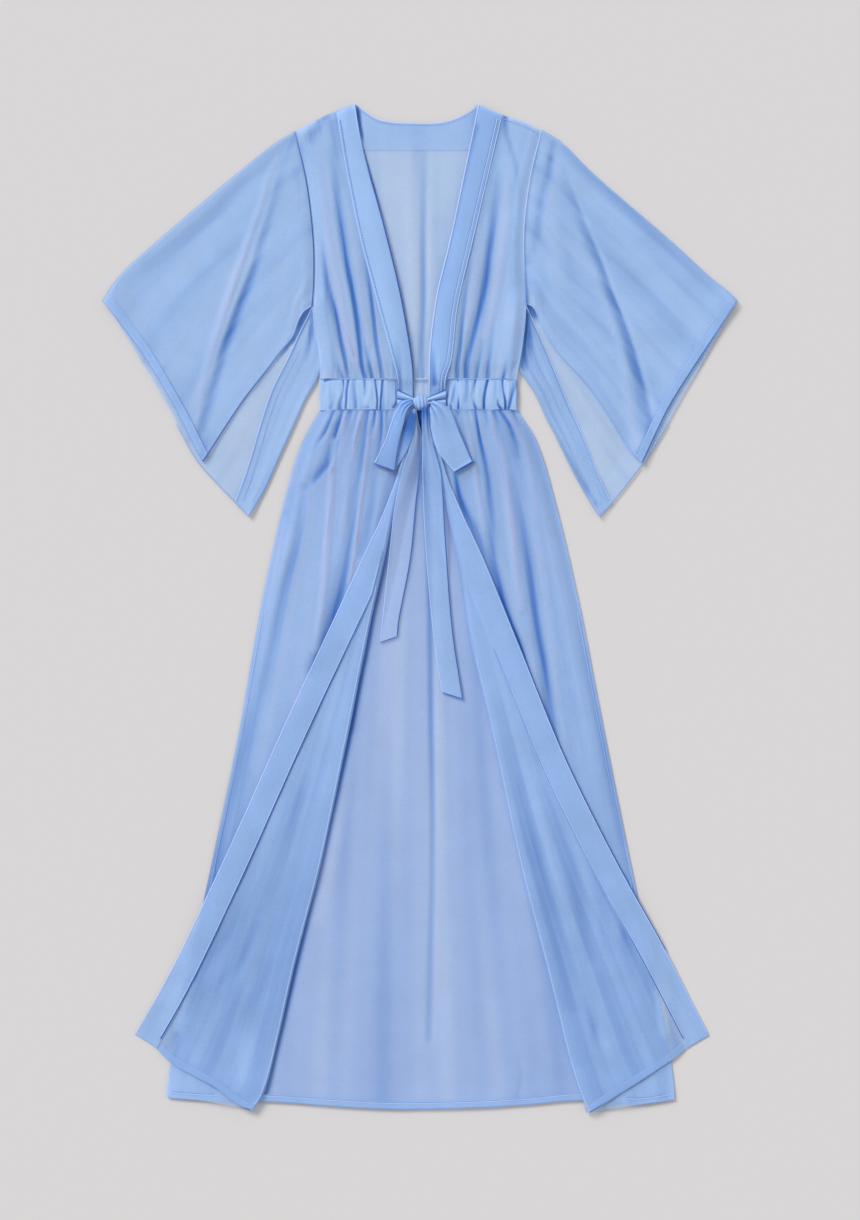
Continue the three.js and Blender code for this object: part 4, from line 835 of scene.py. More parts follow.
class KimonoCloth(bpy.types.PropertyGroup):
    """Finish of the chiffon."""
    colour: bpy.props.FloatVectorProperty(
        name="Colour", description="Colour of one layer of the cloth", subtype="COLOR", size=4,
        default=(0.372, 0.588, 0.94, 1.0), min=0, max=1)
    back_colour: bpy.props.FloatVectorProperty(
        name="Back colour", description="Colour of the back panels, which lie on the floor", subtype="COLOR",
        size=4, default=(0.36, 0.59, 0.99, 1.0), min=0, max=1)
    skirt_colour: bpy.props.FloatVectorProperty(
        name="Skirt colour", description="Colour of the skirt fronts", subtype="COLOR", size=4,
        default=(0.372, 0.58, 0.93, 1.0), min=0, max=1)
    skirt_back_colour: bpy.props.FloatVectorProperty(
        name="Skirt back colour", description="Colour of the back of the skirt", subtype="COLOR", size=4,
        default=(0.315, 0.515, 0.95, 1.0), min=0, max=1)
    # Colour of cloth folded together, which also paints shade in creases and shadows
    fold_shade_colour: bpy.props.FloatVectorProperty(
        name="Folded colour", description="Colour where cloth is folded together", subtype="COLOR", size=4,
        default=(0.05, 0.157, 0.495, 1.0), min=0, max=1)
    # Colour of seam gaps, which also paints the thin shadows beside raised edges
    seam_shadow_colour: bpy.props.FloatVectorProperty(
        name="Seam colour", description="Colour in the gap along a seam", subtype="COLOR", size=4,
        default=(0.02, 0.07, 0.29, 1.0), min=0, max=1)
    # Colour of painted highlights on the crests of folds
    painted_highlight_colour: bpy.props.FloatVectorProperty(
        name="Crown colour", description="Colour where a fold stands up into the light", subtype="COLOR",
        size=4, default=(0.56, 0.67, 0.98, 1.0), min=0, max=1)
    cover: bpy.props.FloatProperty(
        name="Cover", description="How much of what is behind one layer it hides", subtype="FACTOR",
        default=0.5, min=0, max=1)
    doubled_cover: bpy.props.FloatProperty(
        name="Doubled cover", description="How much doubled cloth hides", subtype="FACTOR",
        default=0.72, min=0, max=1)
    thread_pitch: bpy.props.FloatProperty(
        name="Thread pitch", description="Distance between two threads of the weave", unit="LENGTH",
        default=0.0009, min=0.0002, max=0.01, precision=4)


class KimonoForm(bpy.types.PropertyGroup):
    """How high the cloth stands."""
    waist_lift: bpy.props.FloatProperty(
        name="Waist lift", description="Height of the gathers beside the waist casing", unit="LENGTH",
        default=0.0055, min=0, max=0.02, precision=4)
    body_lift: bpy.props.FloatProperty(
        name="Body lift", description="Height of a front over the back", unit="LENGTH",
        default=0.0018, min=0, max=0.01, precision=4)
    neck_lift: bpy.props.FloatProperty(
        name="Neck lift", description="Height of the bands beside the neck", unit="LENGTH",
        default=0.005, min=0, max=0.015, precision=4)
    edge_lift: bpy.props.FloatProperty(
        name="Edge lift", description="Height of free edges over the floor", unit="LENGTH",
        default=0.003, min=0, max=0.015, precision=4)
    spacing: bpy.props.FloatProperty(
        name="Mesh spacing", description="Distance between two points of a sheet", unit="LENGTH",
        default=0.0027, min=0.002, max=0.02, precision=4)


class KimonoStage(bpy.types.PropertyGroup):
    """Floor, light and camera."""
    floor_colour: bpy.props.FloatVectorProperty(
        name="Floor colour", description="Colour of the pale floor", subtype="COLOR", size=4,
        default=(0.62, 0.607, 0.612, 1.0), min=0, max=1)
    key_strength: bpy.props.FloatProperty(
        name="Key light", description="Strength of the soft light from the upper left", default=2.5, min=0,
        max=20)
    fill_strength: bpy.props.FloatProperty(
        name="Fill light", description="Strength of the light from all round", default=0.59, min=0, max=5)
    camera_height: bpy.props.FloatProperty(
        name="Camera height", description="Height of the camera over the floor", unit="LENGTH",
        default=4.6, min=1, max=20)


def form_mm(name):
    """A height from the form settings, in millimetres."""
    return 1000 * getattr(bpy.context.scene.kimono_form, name)


def count_for(length):
    """How many steps a length in millimetres takes at the mesh spacing."""
    return max(4, round(length * MM / bpy.context.scene.kimono_form.spacing))


# Materials

WHITE = (1.0, 1.0, 1.0, 1.0)

# Size of one wave of the wave texture at a scale of 1, in metres
WAVE_LENGTH = 0.16

# Each cloth: its material, its colour and cover among the settings, and its cover where it is folded together
CLOTHS = {
    "single": ("Chiffon", "colour", "cover", 0.93),
    "back": ("Chiffon back", "back_colour", "cover", 0.93),
    "skirt": ("Chiffon skirt", "skirt_colour", "cover", 0.93),
    "skirt_back": ("Chiffon skirt back", "skirt_back_colour", "cover", 0.93),
    "doubled": ("Chiffon doubled", "colour", "doubled_cover", 0.95),
}


def group_socket(group, name, way, default=None):
    socket = group.interface.new_socket(name=name, socket_type="NodeSocketFloat", in_out=way)
    if default is not None:
        socket.default_value = default


def weave_group():
    """Crossed threads of uneven thickness: puts out a mask of the threads, which is also their height."""
    if "Crepe weave" in bpy.data.node_groups:
        return bpy.data.node_groups["Crepe weave"]
    group = bpy.data.node_groups.new("Crepe weave", "ShaderNodeTree")
    group_socket(group, "Pitch", "INPUT", 0.0009)
    group_socket(group, "Unevenness", "INPUT", 0.5)
    group_socket(group, "Threads", "OUTPUT")
    nodes, links = group.nodes, group.links
    entry = nodes.new("NodeGroupInput")
    leave = nodes.new("NodeGroupOutput")
    place = nodes.new("ShaderNodeTexCoord")
    scale = nodes.new("ShaderNodeMath")
    scale.operation = "DIVIDE"
    scale.inputs[0].default_value = WAVE_LENGTH
    links.new(entry.outputs["Pitch"], scale.inputs[1])
    threads = []
    for direction in ("X", "Y"):
        wave = nodes.new("ShaderNodeTexWave")
        wave.bands_direction = direction
        wave.inputs["Distortion"].default_value = 1.2
        wave.inputs["Detail"].default_value = 2.0
        wave.inputs["Detail Scale"].default_value = 0.4
        links.new(place.outputs["Object"], wave.inputs["Vector"])
        links.new(scale.outputs[0], wave.inputs["Scale"])
        threads.append(wave)
    cross = nodes.new("ShaderNodeMath")
    cross.operation = "MULTIPLY"
    links.new(threads[0].outputs["Fac"], cross.inputs[0])
    links.new(threads[1].outputs["Fac"], cross.inputs[1])
    uneven = nodes.new("ShaderNodeTexNoise")
    uneven.inputs["Scale"].default_value = 260
    uneven.inputs["Detail"].default_value = 4
    links.new(place.outputs["Object"], uneven.inputs["Vector"])
    blend = nodes.new("ShaderNodeMix")
    links.new(entry.outputs["Unevenness"], blend.inputs["Factor"])
    links.new(cross.outputs[0], blend.inputs["A"])
    links.new(uneven.outputs["Fac"], blend.inputs["B"])
    links.new(blend.outputs["Result"], leave.inputs["Threads"])
    return group


def mix_colours(tree, factor, first, second):
    """A colour between two, each a socket or a plain colour."""
    node = tree.nodes.new("ShaderNodeMix")
    node.data_type = "RGBA"
    for name, value in (("Factor", factor), ("A", first), ("B", second)):
        socket = next(s for s in node.inputs if s.name == name and s.enabled)
        if isinstance(value, bpy.types.NodeSocket):
            tree.links.new(value, socket)
        else:
            socket.default_value = value
    return next(s for s in node.outputs if s.enabled)


def scaled(tree, value, start, end, low=0.0, high=1.0):
    """A value mapped from one range to another."""
    node = tree.nodes.new("ShaderNodeMapRange")
    tree.links.new(value, node.inputs["Value"])
    for name, number in (("From Min", start), ("From Max", end), ("To Min", low), ("To Max", high)):
        node.inputs[name].default_value = number
    return node.outputs["Result"]


def added(tree, first, second):
    node = tree.nodes.new("ShaderNodeMath")
    node.operation = "ADD"
    node.use_clamp = True
    tree.links.new(first, node.inputs[0])
    tree.links.new(second, node.inputs[1])
    return node.outputs[0]


def new_material(name):
    material = bpy.data.materials.new(name)
    material.use_nodes = True
    tree = material.node_tree
    return material, tree, next(node for node in tree.nodes if node.type == "BSDF_PRINCIPLED")


def noise(tree, scale, detail):
    place = tree.nodes.new("ShaderNodeTexCoord")
    node = tree.nodes.new("ShaderNodeTexNoise")
    node.inputs["Scale"].default_value = scale
    node.inputs["Detail"].default_value = detail
    tree.links.new(place.outputs["Object"], node.inputs["Vector"])
    return node.outputs["Fac"]


def chiffon(kind):
    """Sheer cloth with a fine crepe weave: deeper and less sheer where it is folded together or painted with
    shade, darkest on seam gaps and painted shadows, paler where a highlight is painted.
    """
    name, colour, cover, folded_cover = CLOTHS[kind]
    if name in bpy.data.materials:
        return bpy.data.materials[name]
    cloth = bpy.context.scene.kimono_cloth
    colour, cover = getattr(cloth, colour), getattr(cloth, cover)
    material, tree, shader = new_material(name)
    attribute = tree.nodes.new("ShaderNodeAttribute")
    attribute.attribute_name = "folded"
    folded = attribute.outputs["Fac"]
    weave = tree.nodes.new("ShaderNodeGroup")
    weave.node_tree = weave_group()
    weave.inputs["Pitch"].default_value = cloth.thread_pitch
    weave.inputs["Unevenness"].default_value = 0.6
    threads = weave.outputs["Threads"]
    paler = tuple(min(1, c * 1.06) for c in colour[:3]) + (1.0,)
    plain = mix_colours(tree, scaled(tree, noise(tree, 22, 3), 0.35, 0.65), tuple(colour), paler)
    woven = mix_colours(tree, scaled(tree, threads, 0.2, 0.8, 0.0, 0.08), plain, WHITE)
    # Paler towards the painted highlight colour where folded is below 0
    painted_highlight = mix_colours(tree, scaled(tree, folded, 0, -1), woven, tuple(cloth.painted_highlight_colour))
    # Deeper towards the colour of folded cloth and painted shade where folded is above 0
    deep = mix_colours(tree, scaled(tree, folded, 0, 1), painted_highlight, tuple(cloth.fold_shade_colour))
    # Darkest towards the colour of seam gaps and painted shadows above 1
    darkest = mix_colours(tree, scaled(tree, folded, 1, 1.5), deep, tuple(cloth.seam_shadow_colour))
    tree.links.new(darkest, shader.inputs["Base Color"])
    cover_here = added(tree, scaled(tree, folded, 0, 1, cover, folded_cover),
                       scaled(tree, folded, -2, -0.9, -0.45, 0))
    holes = scaled(tree, threads, 0.2, 0.8, -0.03, 0.03)
    tree.links.new(added(tree, cover_here, holes), shader.inputs["Alpha"])
    relief = tree.nodes.new("ShaderNodeBump")
    relief.inputs["Strength"].default_value = 0.10
    relief.inputs["Distance"].default_value = 0.0006
    tree.links.new(threads, relief.inputs["Height"])
    tree.links.new(relief.outputs["Normal"], shader.inputs["Normal"])
    shader.inputs["Roughness"].default_value = 0.82
    shader.inputs["Specular IOR Level"].default_value = 0.15
    shader.inputs["Sheen Weight"].default_value = 0.12
    shader.inputs["Sheen Roughness"].default_value = 0.4
    shader.inputs["Sheen Tint"].default_value = (0.75, 0.85, 1.0, 1.0)
    return material


def thread_material():
    if "Sewing thread" in bpy.data.materials:
        return bpy.data.materials["Sewing thread"]
    material, tree, shader = new_material("Sewing thread")
    twist = scaled(tree, noise(tree, 900, 2), 0.4, 0.6)
    tree.links.new(mix_colours(tree, twist, (0.10, 0.24, 0.58, 1), (0.16, 0.32, 0.68, 1)),
                   shader.inputs["Base Color"])
    shader.inputs["Roughness"].default_value = 0.6
    return material


# Making pieces

def finish_piece(piece, material, slot, nodes, flat=None, held="laid", area=None):
    """Gives a piece its material and ties it to the frame."""
    piece.data.materials.append(material)
    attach(piece, "root")
    if nodes:
        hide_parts(*nodes)


def new_mesh(name, points, faces, cloth=None):
    """A smooth mesh from points in millimetres, with its folded cloth, painted shade and painted highlights
    as an attribute.
    """
    mesh = bpy.data.meshes.new(name)
    mesh.from_pydata((points * MM).tolist(), [], faces.tolist())
    mesh.polygons.foreach_set("use_smooth", np.ones(len(faces), bool))
    if cloth is not None:
        folded = mesh.attributes.new("folded", "FLOAT", "POINT")
        folded.data.foreach_set("value", cloth.astype(np.float32))
    mesh.update()
    normals = np.empty(3 * len(faces))
    mesh.polygons.foreach_get("normal", normals)
    if normals[2::3].mean() < 0:
        mesh.flip_normals()
    piece = bpy.data.objects.new(name, mesh)
    bpy.context.scene.collection.objects.link(piece)
    return piece


def grid_object(name, sheet):
    rows, columns = sheet.points.shape[:2]
    index = np.arange(rows * columns).reshape(rows, columns)
    faces = np.stack([index[:-1, :-1], index[1:, :-1], index[1:, 1:], index[:-1, 1:]], -1).reshape(-1, 4)
    return new_mesh(name, sheet.points.reshape(-1, 3), faces, sheet.cloth.reshape(-1))


def lay_piece(name, sheet, cloth, slot, **facts):
    """A sheet as the piece that replaces a node of the frame, and its heights for what lies on it."""
    laid[name] = marked(sheet.points)
    finish_piece(grid_object(name + "_cloth", sheet), chiffon(cloth), slot, [name], **facts)


# Sleeves

def reversed_line(edge):
    return lambda share: edge(1 - np.asarray(share, float))


def make_sleeve(side):
    edges = SIDES[side]
    outward = -1 if side == "left" else 1
    armhole = smooth_line(edges["armhole"])
    inset = beside(smooth_line(edges["sleeve_top"]), -outward * TURN_RADIUS)
    bottom = beside(smooth_line(edges["sleeve_turn"]), outward * TURN_RADIUS)

    def top(share):
        share = np.asarray(share, float)
        return armhole(0.0) + (inset(share) - armhole(0.0)) * rise(share, 0, 0.06)[..., None]

    def start(share):
        share = np.asarray(share, float)
        up = armhole(1 - share)
        return bottom(0.0) + (up - bottom(0.0)) * rise(share, 0, 0.11)[..., None]

    rows, columns = evenly(count_for(380)), evenly(count_for(330))
    back = panel(start, reversed_line(smooth_line(edges["cuff_under"])), bottom, top)
    lift = form_mm("edge_lift")

    def under_relief(across, down, places):
        return 0.5 + waves(places, 0.5, 41) + lift * rise(down, 0.9, 1)

    lower = spread(back, rows, columns, TABLE, under_relief, FOLDS[side + "_sleeve_under"], seed=101)
    strip = between(smooth_line(edges["strip"]), bottom)
    turned = spread(strip, rows, evenly(MESH_STEPS["strip"]), Ground(marked(lower.points)),
                    lambda across, down, places: TURN_RADIUS * rise(across, 0.4, 1),
                    FOLDS[side + "_sleeve_strip"], 1.5 * TONE[side]["sleeve"], seed=105)
    turned.points[:, -1, 2] = np.maximum(turned.points[:, -1, 2], lower.points[:, 0, 2] + 2 * TURN_RADIUS)
    beneath = [marked(lower.points), marked(turned.points)]

    def relief(across, down, places):
        fold = TURN_RADIUS * (1 - rise(across, 0, 0.15))
        body = 1.6 + 1.8 * rise(across, 0, 0.2) * (1 - rise(down, 0.1, 0.6))
        return rise(down, 0, 0.06) * (body + waves(places, 0.8, 43)) + fold + 0.5 * lift * rise(down, 0.9, 1)

    front = panel(armhole, smooth_line(edges["cuff_over"]), top, smooth_line(edges["split"]))
    upper = spread(front, rows, columns, Ground(*beneath), relief, FOLDS[side + "_sleeve"],
                   TONE[side]["sleeve"], seed=103)
    sheet = turned.beside(half_turn(turned, lower), folded_over(lower, upper))
    lay_piece("sleeve_" + side, sheet, "single", "chiffon", flat=(0.62, 0.36), held="folded", area=0.17)
    laid["under_" + side] = np.maximum(*beneath)

    def cuff(across, down):
        return front(0.01 + 0.985 * down, CUFF_START + (1 - CUFF_START) * across)

    hem = spread(cuff, evenly(count_for(230)), evenly(MESH_STEPS["hem"]), on("sleeve_" + side), tone=0.1,
                 air=0.3)
    lay_piece("cuff_" + side, hem, "single", "chiffon_doubled", flat=(0.012, 0.28), held="laid")


class KIMONO_OT_sleeves(bpy.types.Operator):
    """Lay both wide sleeves, split along the underside, with their hems"""
    bl_idname = "kimono.sleeves"
    bl_label = "Sleeves"

    def execute(self, context):
        for side in SIDES:
            make_sleeve(side)
        return {"FINISHED"}


# Bodice

def side_line(edges):
    return joined((ARMHOLE, smooth_line(edges["armhole"])), (1, smooth_line(edges["flank"])))


def make_back_bodice():
    left, right = SIDES["left"], SIDES["right"]
    top = joined((0.25, smooth_line(left["shoulder"])), (0.75, smooth_line(BACK_NECK)),
                 (1, reversed_line(smooth_line(right["shoulder"]))))
    waist = smooth_line([left["flank"][-1], right["flank"][-1]])
    plan = panel(top, waist, side_line(left), side_line(right))

    def relief(across, down, places):
        gathered = 1.4 + 0.8 * ripple(across, 1 - down, 0.05, 0.14) + 0.8 * rise(down, 0.7, 1)
        return gathered + waves(places, 0.5, 3)

    sheet = spread(plan, evenly(count_for(400)), evenly(count_for(400)), on("under_left", "under_right"),
                   relief, FOLDS["bodice_back"], seed=107)
    lay_piece("bodice_back", sheet, "back", "chiffon", flat=(0.36, 0.40), held="laid")


def make_facing():
    neck = smooth_line(BACK_NECK)
    plan = panel(neck, smooth_line(FACING_EDGE), smooth_line([BACK_NECK[0], FACING_EDGE[0]]),
                 smooth_line([BACK_NECK[-1], FACING_EDGE[1]]))
    sheet = spread(plan, evenly(count_for(70)), evenly(count_for(190)), on("bodice_back"),
                   folds=FOLDS["neck_facing"], tone=-0.06)
    lay_piece("neck_facing", sheet, "single", "chiffon_doubled", flat=(0.17, 0.06), held="laid")


def make_front_bodice(side):
    edges = SIDES[side]
    waist = smooth_line([edges["flank"][-1], edges["front"][-1]])
    plan = panel(smooth_line(edges["shoulder"]), waist, side_line(edges), smooth_line(edges["front"]))
    body, gather, neck = form_mm("body_lift"), form_mm("waist_lift"), form_mm("neck_lift")
    stands = neck * (1 if side == "left" else 0.5)

    def relief(across, down, places):
        closed = rise(across, 0, 0.14) * rise(down, 0, 0.03)
        lift = body + 1.5 + gather * rise(down, 0.1, 0.9) * (1 - 0.8 * rise(across, 0.7, 1))
        lift *= 1 - 0.85 * rise(across, 0.8, 1)
        raised = stands * rise(across, 0.7, 1) * (1 - rise(down, 0.02, 0.15))
        fine = 0.5 * ripple(across, 1 - down, 0.075, 0.08)
        return closed * (lift * (1 - 0.4 * rise(down, 0.93, 1)) + raised + fine + waves(places, 0.6, 5))

    # Paler towards the waist: a painted highlight on the gathers above the casing
    def tone(across, down):
        return 0.02 + TONE[side]["waist"] * rise(down, 0.7, 0.92)

    sheet = spread(plan, evenly(count_for(420)), evenly(count_for(270)), on("bodice_back", "neck_facing"),
                   relief, FOLDS["bodice_" + side], tone, seed=109)
    lay_piece("bodice_" + side, sheet, "single", "chiffon", flat=(0.24, 0.41), held="gathered", area=0.058)


class KIMONO_OT_bodice(bpy.types.Operator):
    """Lay the back of the bodice with its neck facing, and both gathered fronts"""
    bl_idname = "kimono.bodice"
    bl_label = "Bodice"

    def execute(self, context):
        make_back_bodice()
        make_facing()
        for side in SIDES:
            make_front_bodice(side)
        return {"FINISHED"}


# Waist casing

def casing_plan(start, end):
    def plan(across, down):
        x = start + (end - start) * across
        return np.stack([x, CASING_TOP + (CASING_BOTTOM - CASING_TOP) * down], -1)

    return plan


def make_back_casing():
    left, right = SIDES["left"]["casing"][0], SIDES["right"]["casing"][0]

    def relief(across, down, places):
        return 0.8 + 0.7 * ripple(across, 0 * down, 0.045, 1)

    sheet = spread(casing_plan(left, right), evenly(count_for(46)), evenly(count_for(420)), TABLE, relief)
    lay_piece("casing_back", sheet, "back", "chiffon_doubled", flat=(0.30, 0.046), held="gathered")


def make_front_casing(side):
    outer, inner = SIDES[side]["casing"]

    def relief(across, down, places):
        ends = rise(across, 0, 0.025) * (1 - rise(across, 0.97, 1))
        high = 6.5 * (1 - 0.65 * rise(across, 0.75, 0.97)) * (0.75 + 0.25 * np.sin(np.pi * down))
        return ends * high + 0.25 * ripple(across, 0 * down, 0.11, 1)

    sheet = spread(casing_plan(outer, inner), evenly(count_for(60)), evenly(count_for(360)),
                   on("casing_back"), relief, FOLDS["casing_" + side], TONE[side]["casing"], seed=117)
    lay_piece("casing_" + side, sheet, "doubled", "chiffon_doubled", flat=(0.14, 0.046), held="gathered")


class KIMONO_OT_casing(bpy.types.Operator):
    """Lay the elastic waist casing, its back and its gathered fronts"""
    bl_idname = "kimono.casing"
    bl_label = "Waist casing"

    def execute(self, context):
        make_back_casing()
        for side in SIDES:
            make_front_casing(side)
        return {"FINISHED"}


# Skirt

def make_back_skirt():
    left, right = SIDES["left"], SIDES["right"]
    plan = panel(smooth_line([left["skirt_side"][0], right["skirt_side"][0]]), smooth_line(BACK_HEM),
                 smooth_line(left["skirt_side"]), smooth_line(right["skirt_side"]))
    lift = form_mm("edge_lift")

    def relief(across, down, places):
        gathered = (1.2 * ripple(across, down, 0.05, 0.12) + 0.8) * (1 - rise(down, 0.1, 0.3))
        return 1.6 + gathered + waves(places, 0.8, 11) + lift * rise(down, 0.965, 1)

    # Slightly deeper towards the hem, and deeper at the top, partly painted shade beneath the casing and the
    # bow
    def tone(across, down):
        return 0.08 + 0.12 * down + 0.4 * (1 - rise(down, 0.05, 0.22))

    sheet = spread(plan, evenly(count_for(800)), evenly(count_for(660)), TABLE, relief, FOLDS["skirt_back"],
                   tone, seed=111)
    lay_piece("skirt_back", sheet, "skirt_back", "chiffon", flat=(0.74, 1.02), held="laid", area=0.56)


def make_front_skirt(side):
    edges = SIDES[side]
    body, gather = form_mm("body_lift"), form_mm("waist_lift")
    turn = smooth_line(edges["turn"])
    under = panel(smooth_line([edges["skirt_side"][0], edges["turn"][0]]), smooth_line(edges["under_hem"]),
                  smooth_line(edges["skirt_side"]), turn)

    def relief(across, down, places):
        closed = rise(across, 0, 0.16) * (1 - 0.9 * rise(across, 0.86, 1))
        lift = body + 1.2 * (1 - rise(down, 0.6, 0.9)) + gather * (1 - rise(down, 0.03, 0.75))
        fine = 0.5 * ripple(across, down, 0.075, 0.03)
        return closed * (lift * (0.7 + 0.3 * rise(down, 0, 0.02)) + fine + waves(places, 0.8, 21))

    def tone(across, down):
        low = rise(down, 0.4, 0.8) - rise(down, 0.84, 0.93)
        return TONE[side]["skirt"] + TONE[side]["skirt_low"] * low

    rows = evenly(count_for(900))
    lower = spread(under, rows, evenly(MESH_STEPS["skirt"]), on("skirt_back"), relief,
                   FOLDS["skirt_" + side], tone, seed=113)
    over = panel(smooth_line([edges["turn"][0], edges["free"][0]]), smooth_line(edges["flap_hem"]), turn,
                 smooth_line(edges["free"]))
    covered = Ground(laid["skirt_back"], marked(lower.points))

    def flap_relief(across, down, places):
        fold = TURN_RADIUS * 1.4 * (1 - rise(across, 0, 0.25))
        return fold + 1.2 * rise(down, 0.1, 0.4) + waves(places, 0.9, 31) * rise(down, 0.2, 0.5)

    def flap_tone(across, down):
        return TONE[side]["flap"] + 0.26 * rise(down, 0.35, 0.8)

    upper = spread(over, rows, evenly(MESH_STEPS["flap"]), covered, flap_relief, FOLDS[side + "_flap"],
                   flap_tone, seed=115)
    sheet = folded_over(lower, upper)
    lay_piece("skirt_" + side, sheet, "skirt", "chiffon", flat=(0.36, 1.03), held="folded", area=0.30)
    shared["flap_" + side] = over


class KIMONO_OT_skirt(bpy.types.Operator):
    """Lay the back of the skirt, and both gathered fronts turned back over themselves"""
    bl_idname = "kimono.skirt"
    bl_label = "Skirt"

    def execute(self, context):
        make_back_skirt()
        for side in SIDES:
            make_front_skirt(side)
        return {"FINISHED"}


# Bands and hems

def make_bodice_band(side):
    edges = SIDES[side]
    edge = smooth_line([*edges["front"], edges["front_end"]])
    plan = between(smooth_line(edges["stitching"]), edge)
    below = on("bodice_" + side, "casing_back", "bodice_back")

    def relief(across, down, places):
        return 0.8 * np.sin(np.pi * across) + waves(places, 0.25, 51)

    def tone(across, down):
        return TONE[side]["band"] + 0.12 * rise(down, 0.87, 0.9)

    sheet = spread(plan, evenly(count_for(450), 0.004, 1), evenly(count_for(50)), below, relief,
                   FOLDS["band_" + side], tone, air=0.4)
    lay_piece("band_bodice_" + side, sheet, "doubled", "chiffon_doubled", flat=(0.037, 0.46), held="laid")


def make_skirt_band(side):
    edges = SIDES[side]
    free, turn = smooth_line(edges["free"]), smooth_line(edges["turn"])
    over = shared["flap_" + side]

    def plan(across, down):
        width = np.linalg.norm(free(down) - turn(down), axis=-1)
        inner = 1 - np.minimum(0.97, BAND_WIDTH / width)
        return over(inner + (1 - inner) * across, down)

    sheet = spread(plan, evenly(count_for(1000), 0.01, 0.999), evenly(count_for(37)), on("skirt_" + side),
                   lambda across, down, places: 0.6 * np.sin(np.pi * across), tone=0.05, air=0.4)
    lay_piece("band_skirt_" + side, sheet, "skirt", "chiffon_doubled", flat=(0.037, 1.06), held="laid",
              area=0.034)
    shared["band_" + side] = plan


def make_hem(name, edge, width, lies_on, length, tone):
    """A narrow hem along an edge, its width towards the left as one goes along it."""
    sheet = spread(between(beside(edge, width), edge), evenly(count_for(length)), evenly(MESH_STEPS["hem"]),
                   on(lies_on), tone=tone, air=0.3)
    lay_piece(name, sheet, "single", "chiffon_doubled", flat=(abs(width) * MM, length * MM), held="laid")


class KIMONO_OT_bands(bpy.types.Operator):
    """Lay the front bands and the narrow hems"""
    bl_idname = "kimono.bands"
    bl_label = "Bands and hems"

    def execute(self, context):
        for side, inward in (("left", -1), ("right", 1)):
            make_bodice_band(side)
            make_skirt_band(side)
            hem = part(smooth_line(SIDES[side]["flap_hem"]), *FLAP_HEM_PART)
            make_hem("hem_" + side, hem, inward * HEM_WIDTH, "skirt_" + side, 165, 0.28)
        make_hem("hem_back", part(smooth_line(BACK_HEM), *BACK_HEM_PART), HEM_WIDTH, "skirt_back", 735, 0.1)
        return {"FINISHED"}


# Seams and stitches, with painted shadows and highlights along edges

def on_top(edge, maps, start, end, above):
    """Part of a plan line laid on the marked heights of pieces."""
    rough = edge(evenly(60, start, end))
    length = np.linalg.norm(np.diff(rough, axis=0), axis=1).sum()
    places = edge(evenly(max(6, round(length / 2.2)), start, end))
    ground = Ground(*[laid[name] for name in maps])
    smooth = ground.heights(places, ground.marked)
    kernel = np.ones(5) / 5
    smooth = np.maximum(smooth, np.convolve(np.pad(smooth, 2, mode="edge"), kernel, "valid"))
    return np.concatenate([places, smooth[:, None] + above], -1)


def side_ways(points):
    way = np.gradient(points[:, :2], axis=0)
    way /= np.maximum(1e-9, np.linalg.norm(way, axis=1, keepdims=True))
    return np.stack([-way[:, 1], way[:, 0], np.zeros(len(way))], -1)


def seam_ribbon(points, wide, cloth):
    """Points, faces and folded cloth of a narrow raised line along a seam or an edge, painted dark as a seam
    gap or a shadow, or pale as a highlight.
    """
    side = side_ways(points) * wide / 2
    ridge = points + np.array([0, 0, 0.25 * wide])
    corners = np.stack([points - side, ridge, points + side], 1)
    index = 3 * np.arange(len(points) - 1)[:, None, None]
    faces = index + np.array([[0, 1, 4, 3], [1, 2, 5, 4]])
    amount = spaced(np.linspace(0, 1, len(points)), cloth)
    return corners.reshape(-1, 3), faces.reshape(-1, 4), np.repeat(amount, 3)


def stitch_row(points, length, gap, wide):
    """Points and faces of a row of stitches along a line of points in millimetres."""
    steps = np.linalg.norm(np.diff(points, axis=0), axis=1)
    reached = np.concatenate([[0], np.cumsum(steps)])
    starts = np.arange(0.5, reached[-1] - length, length + gap)
    a, b = [np.stack([np.interp(at, reached, points[:, k]) for k in range(3)], -1)
            for at in (starts, starts + length)]
    way = b - a
    way /= np.linalg.norm(way, axis=1, keepdims=True)
    side = np.stack([-way[:, 1], way[:, 0], np.zeros(len(way))], -1) * wide / 2
    middle = (a + b) / 2 + np.array([0, 0, 0.3])
    corners = np.stack([a - side, a + side, middle - side, middle + side, b - side, b + side], 1)
    faces = 6 * np.arange(len(starts))[:, None, None] + np.array([[0, 2, 3, 1], [2, 4, 5, 3]])
    return corners.reshape(-1, 3), faces.reshape(-1, 4)


def merged(parts):
    """Several sets of points and faces as one."""
    points = np.concatenate([p[0] for p in parts])
    starts = np.cumsum([0] + [len(p[0]) for p in parts[:-1]])
    return points, np.concatenate([p[1] + start for p, start in zip(parts, starts)])


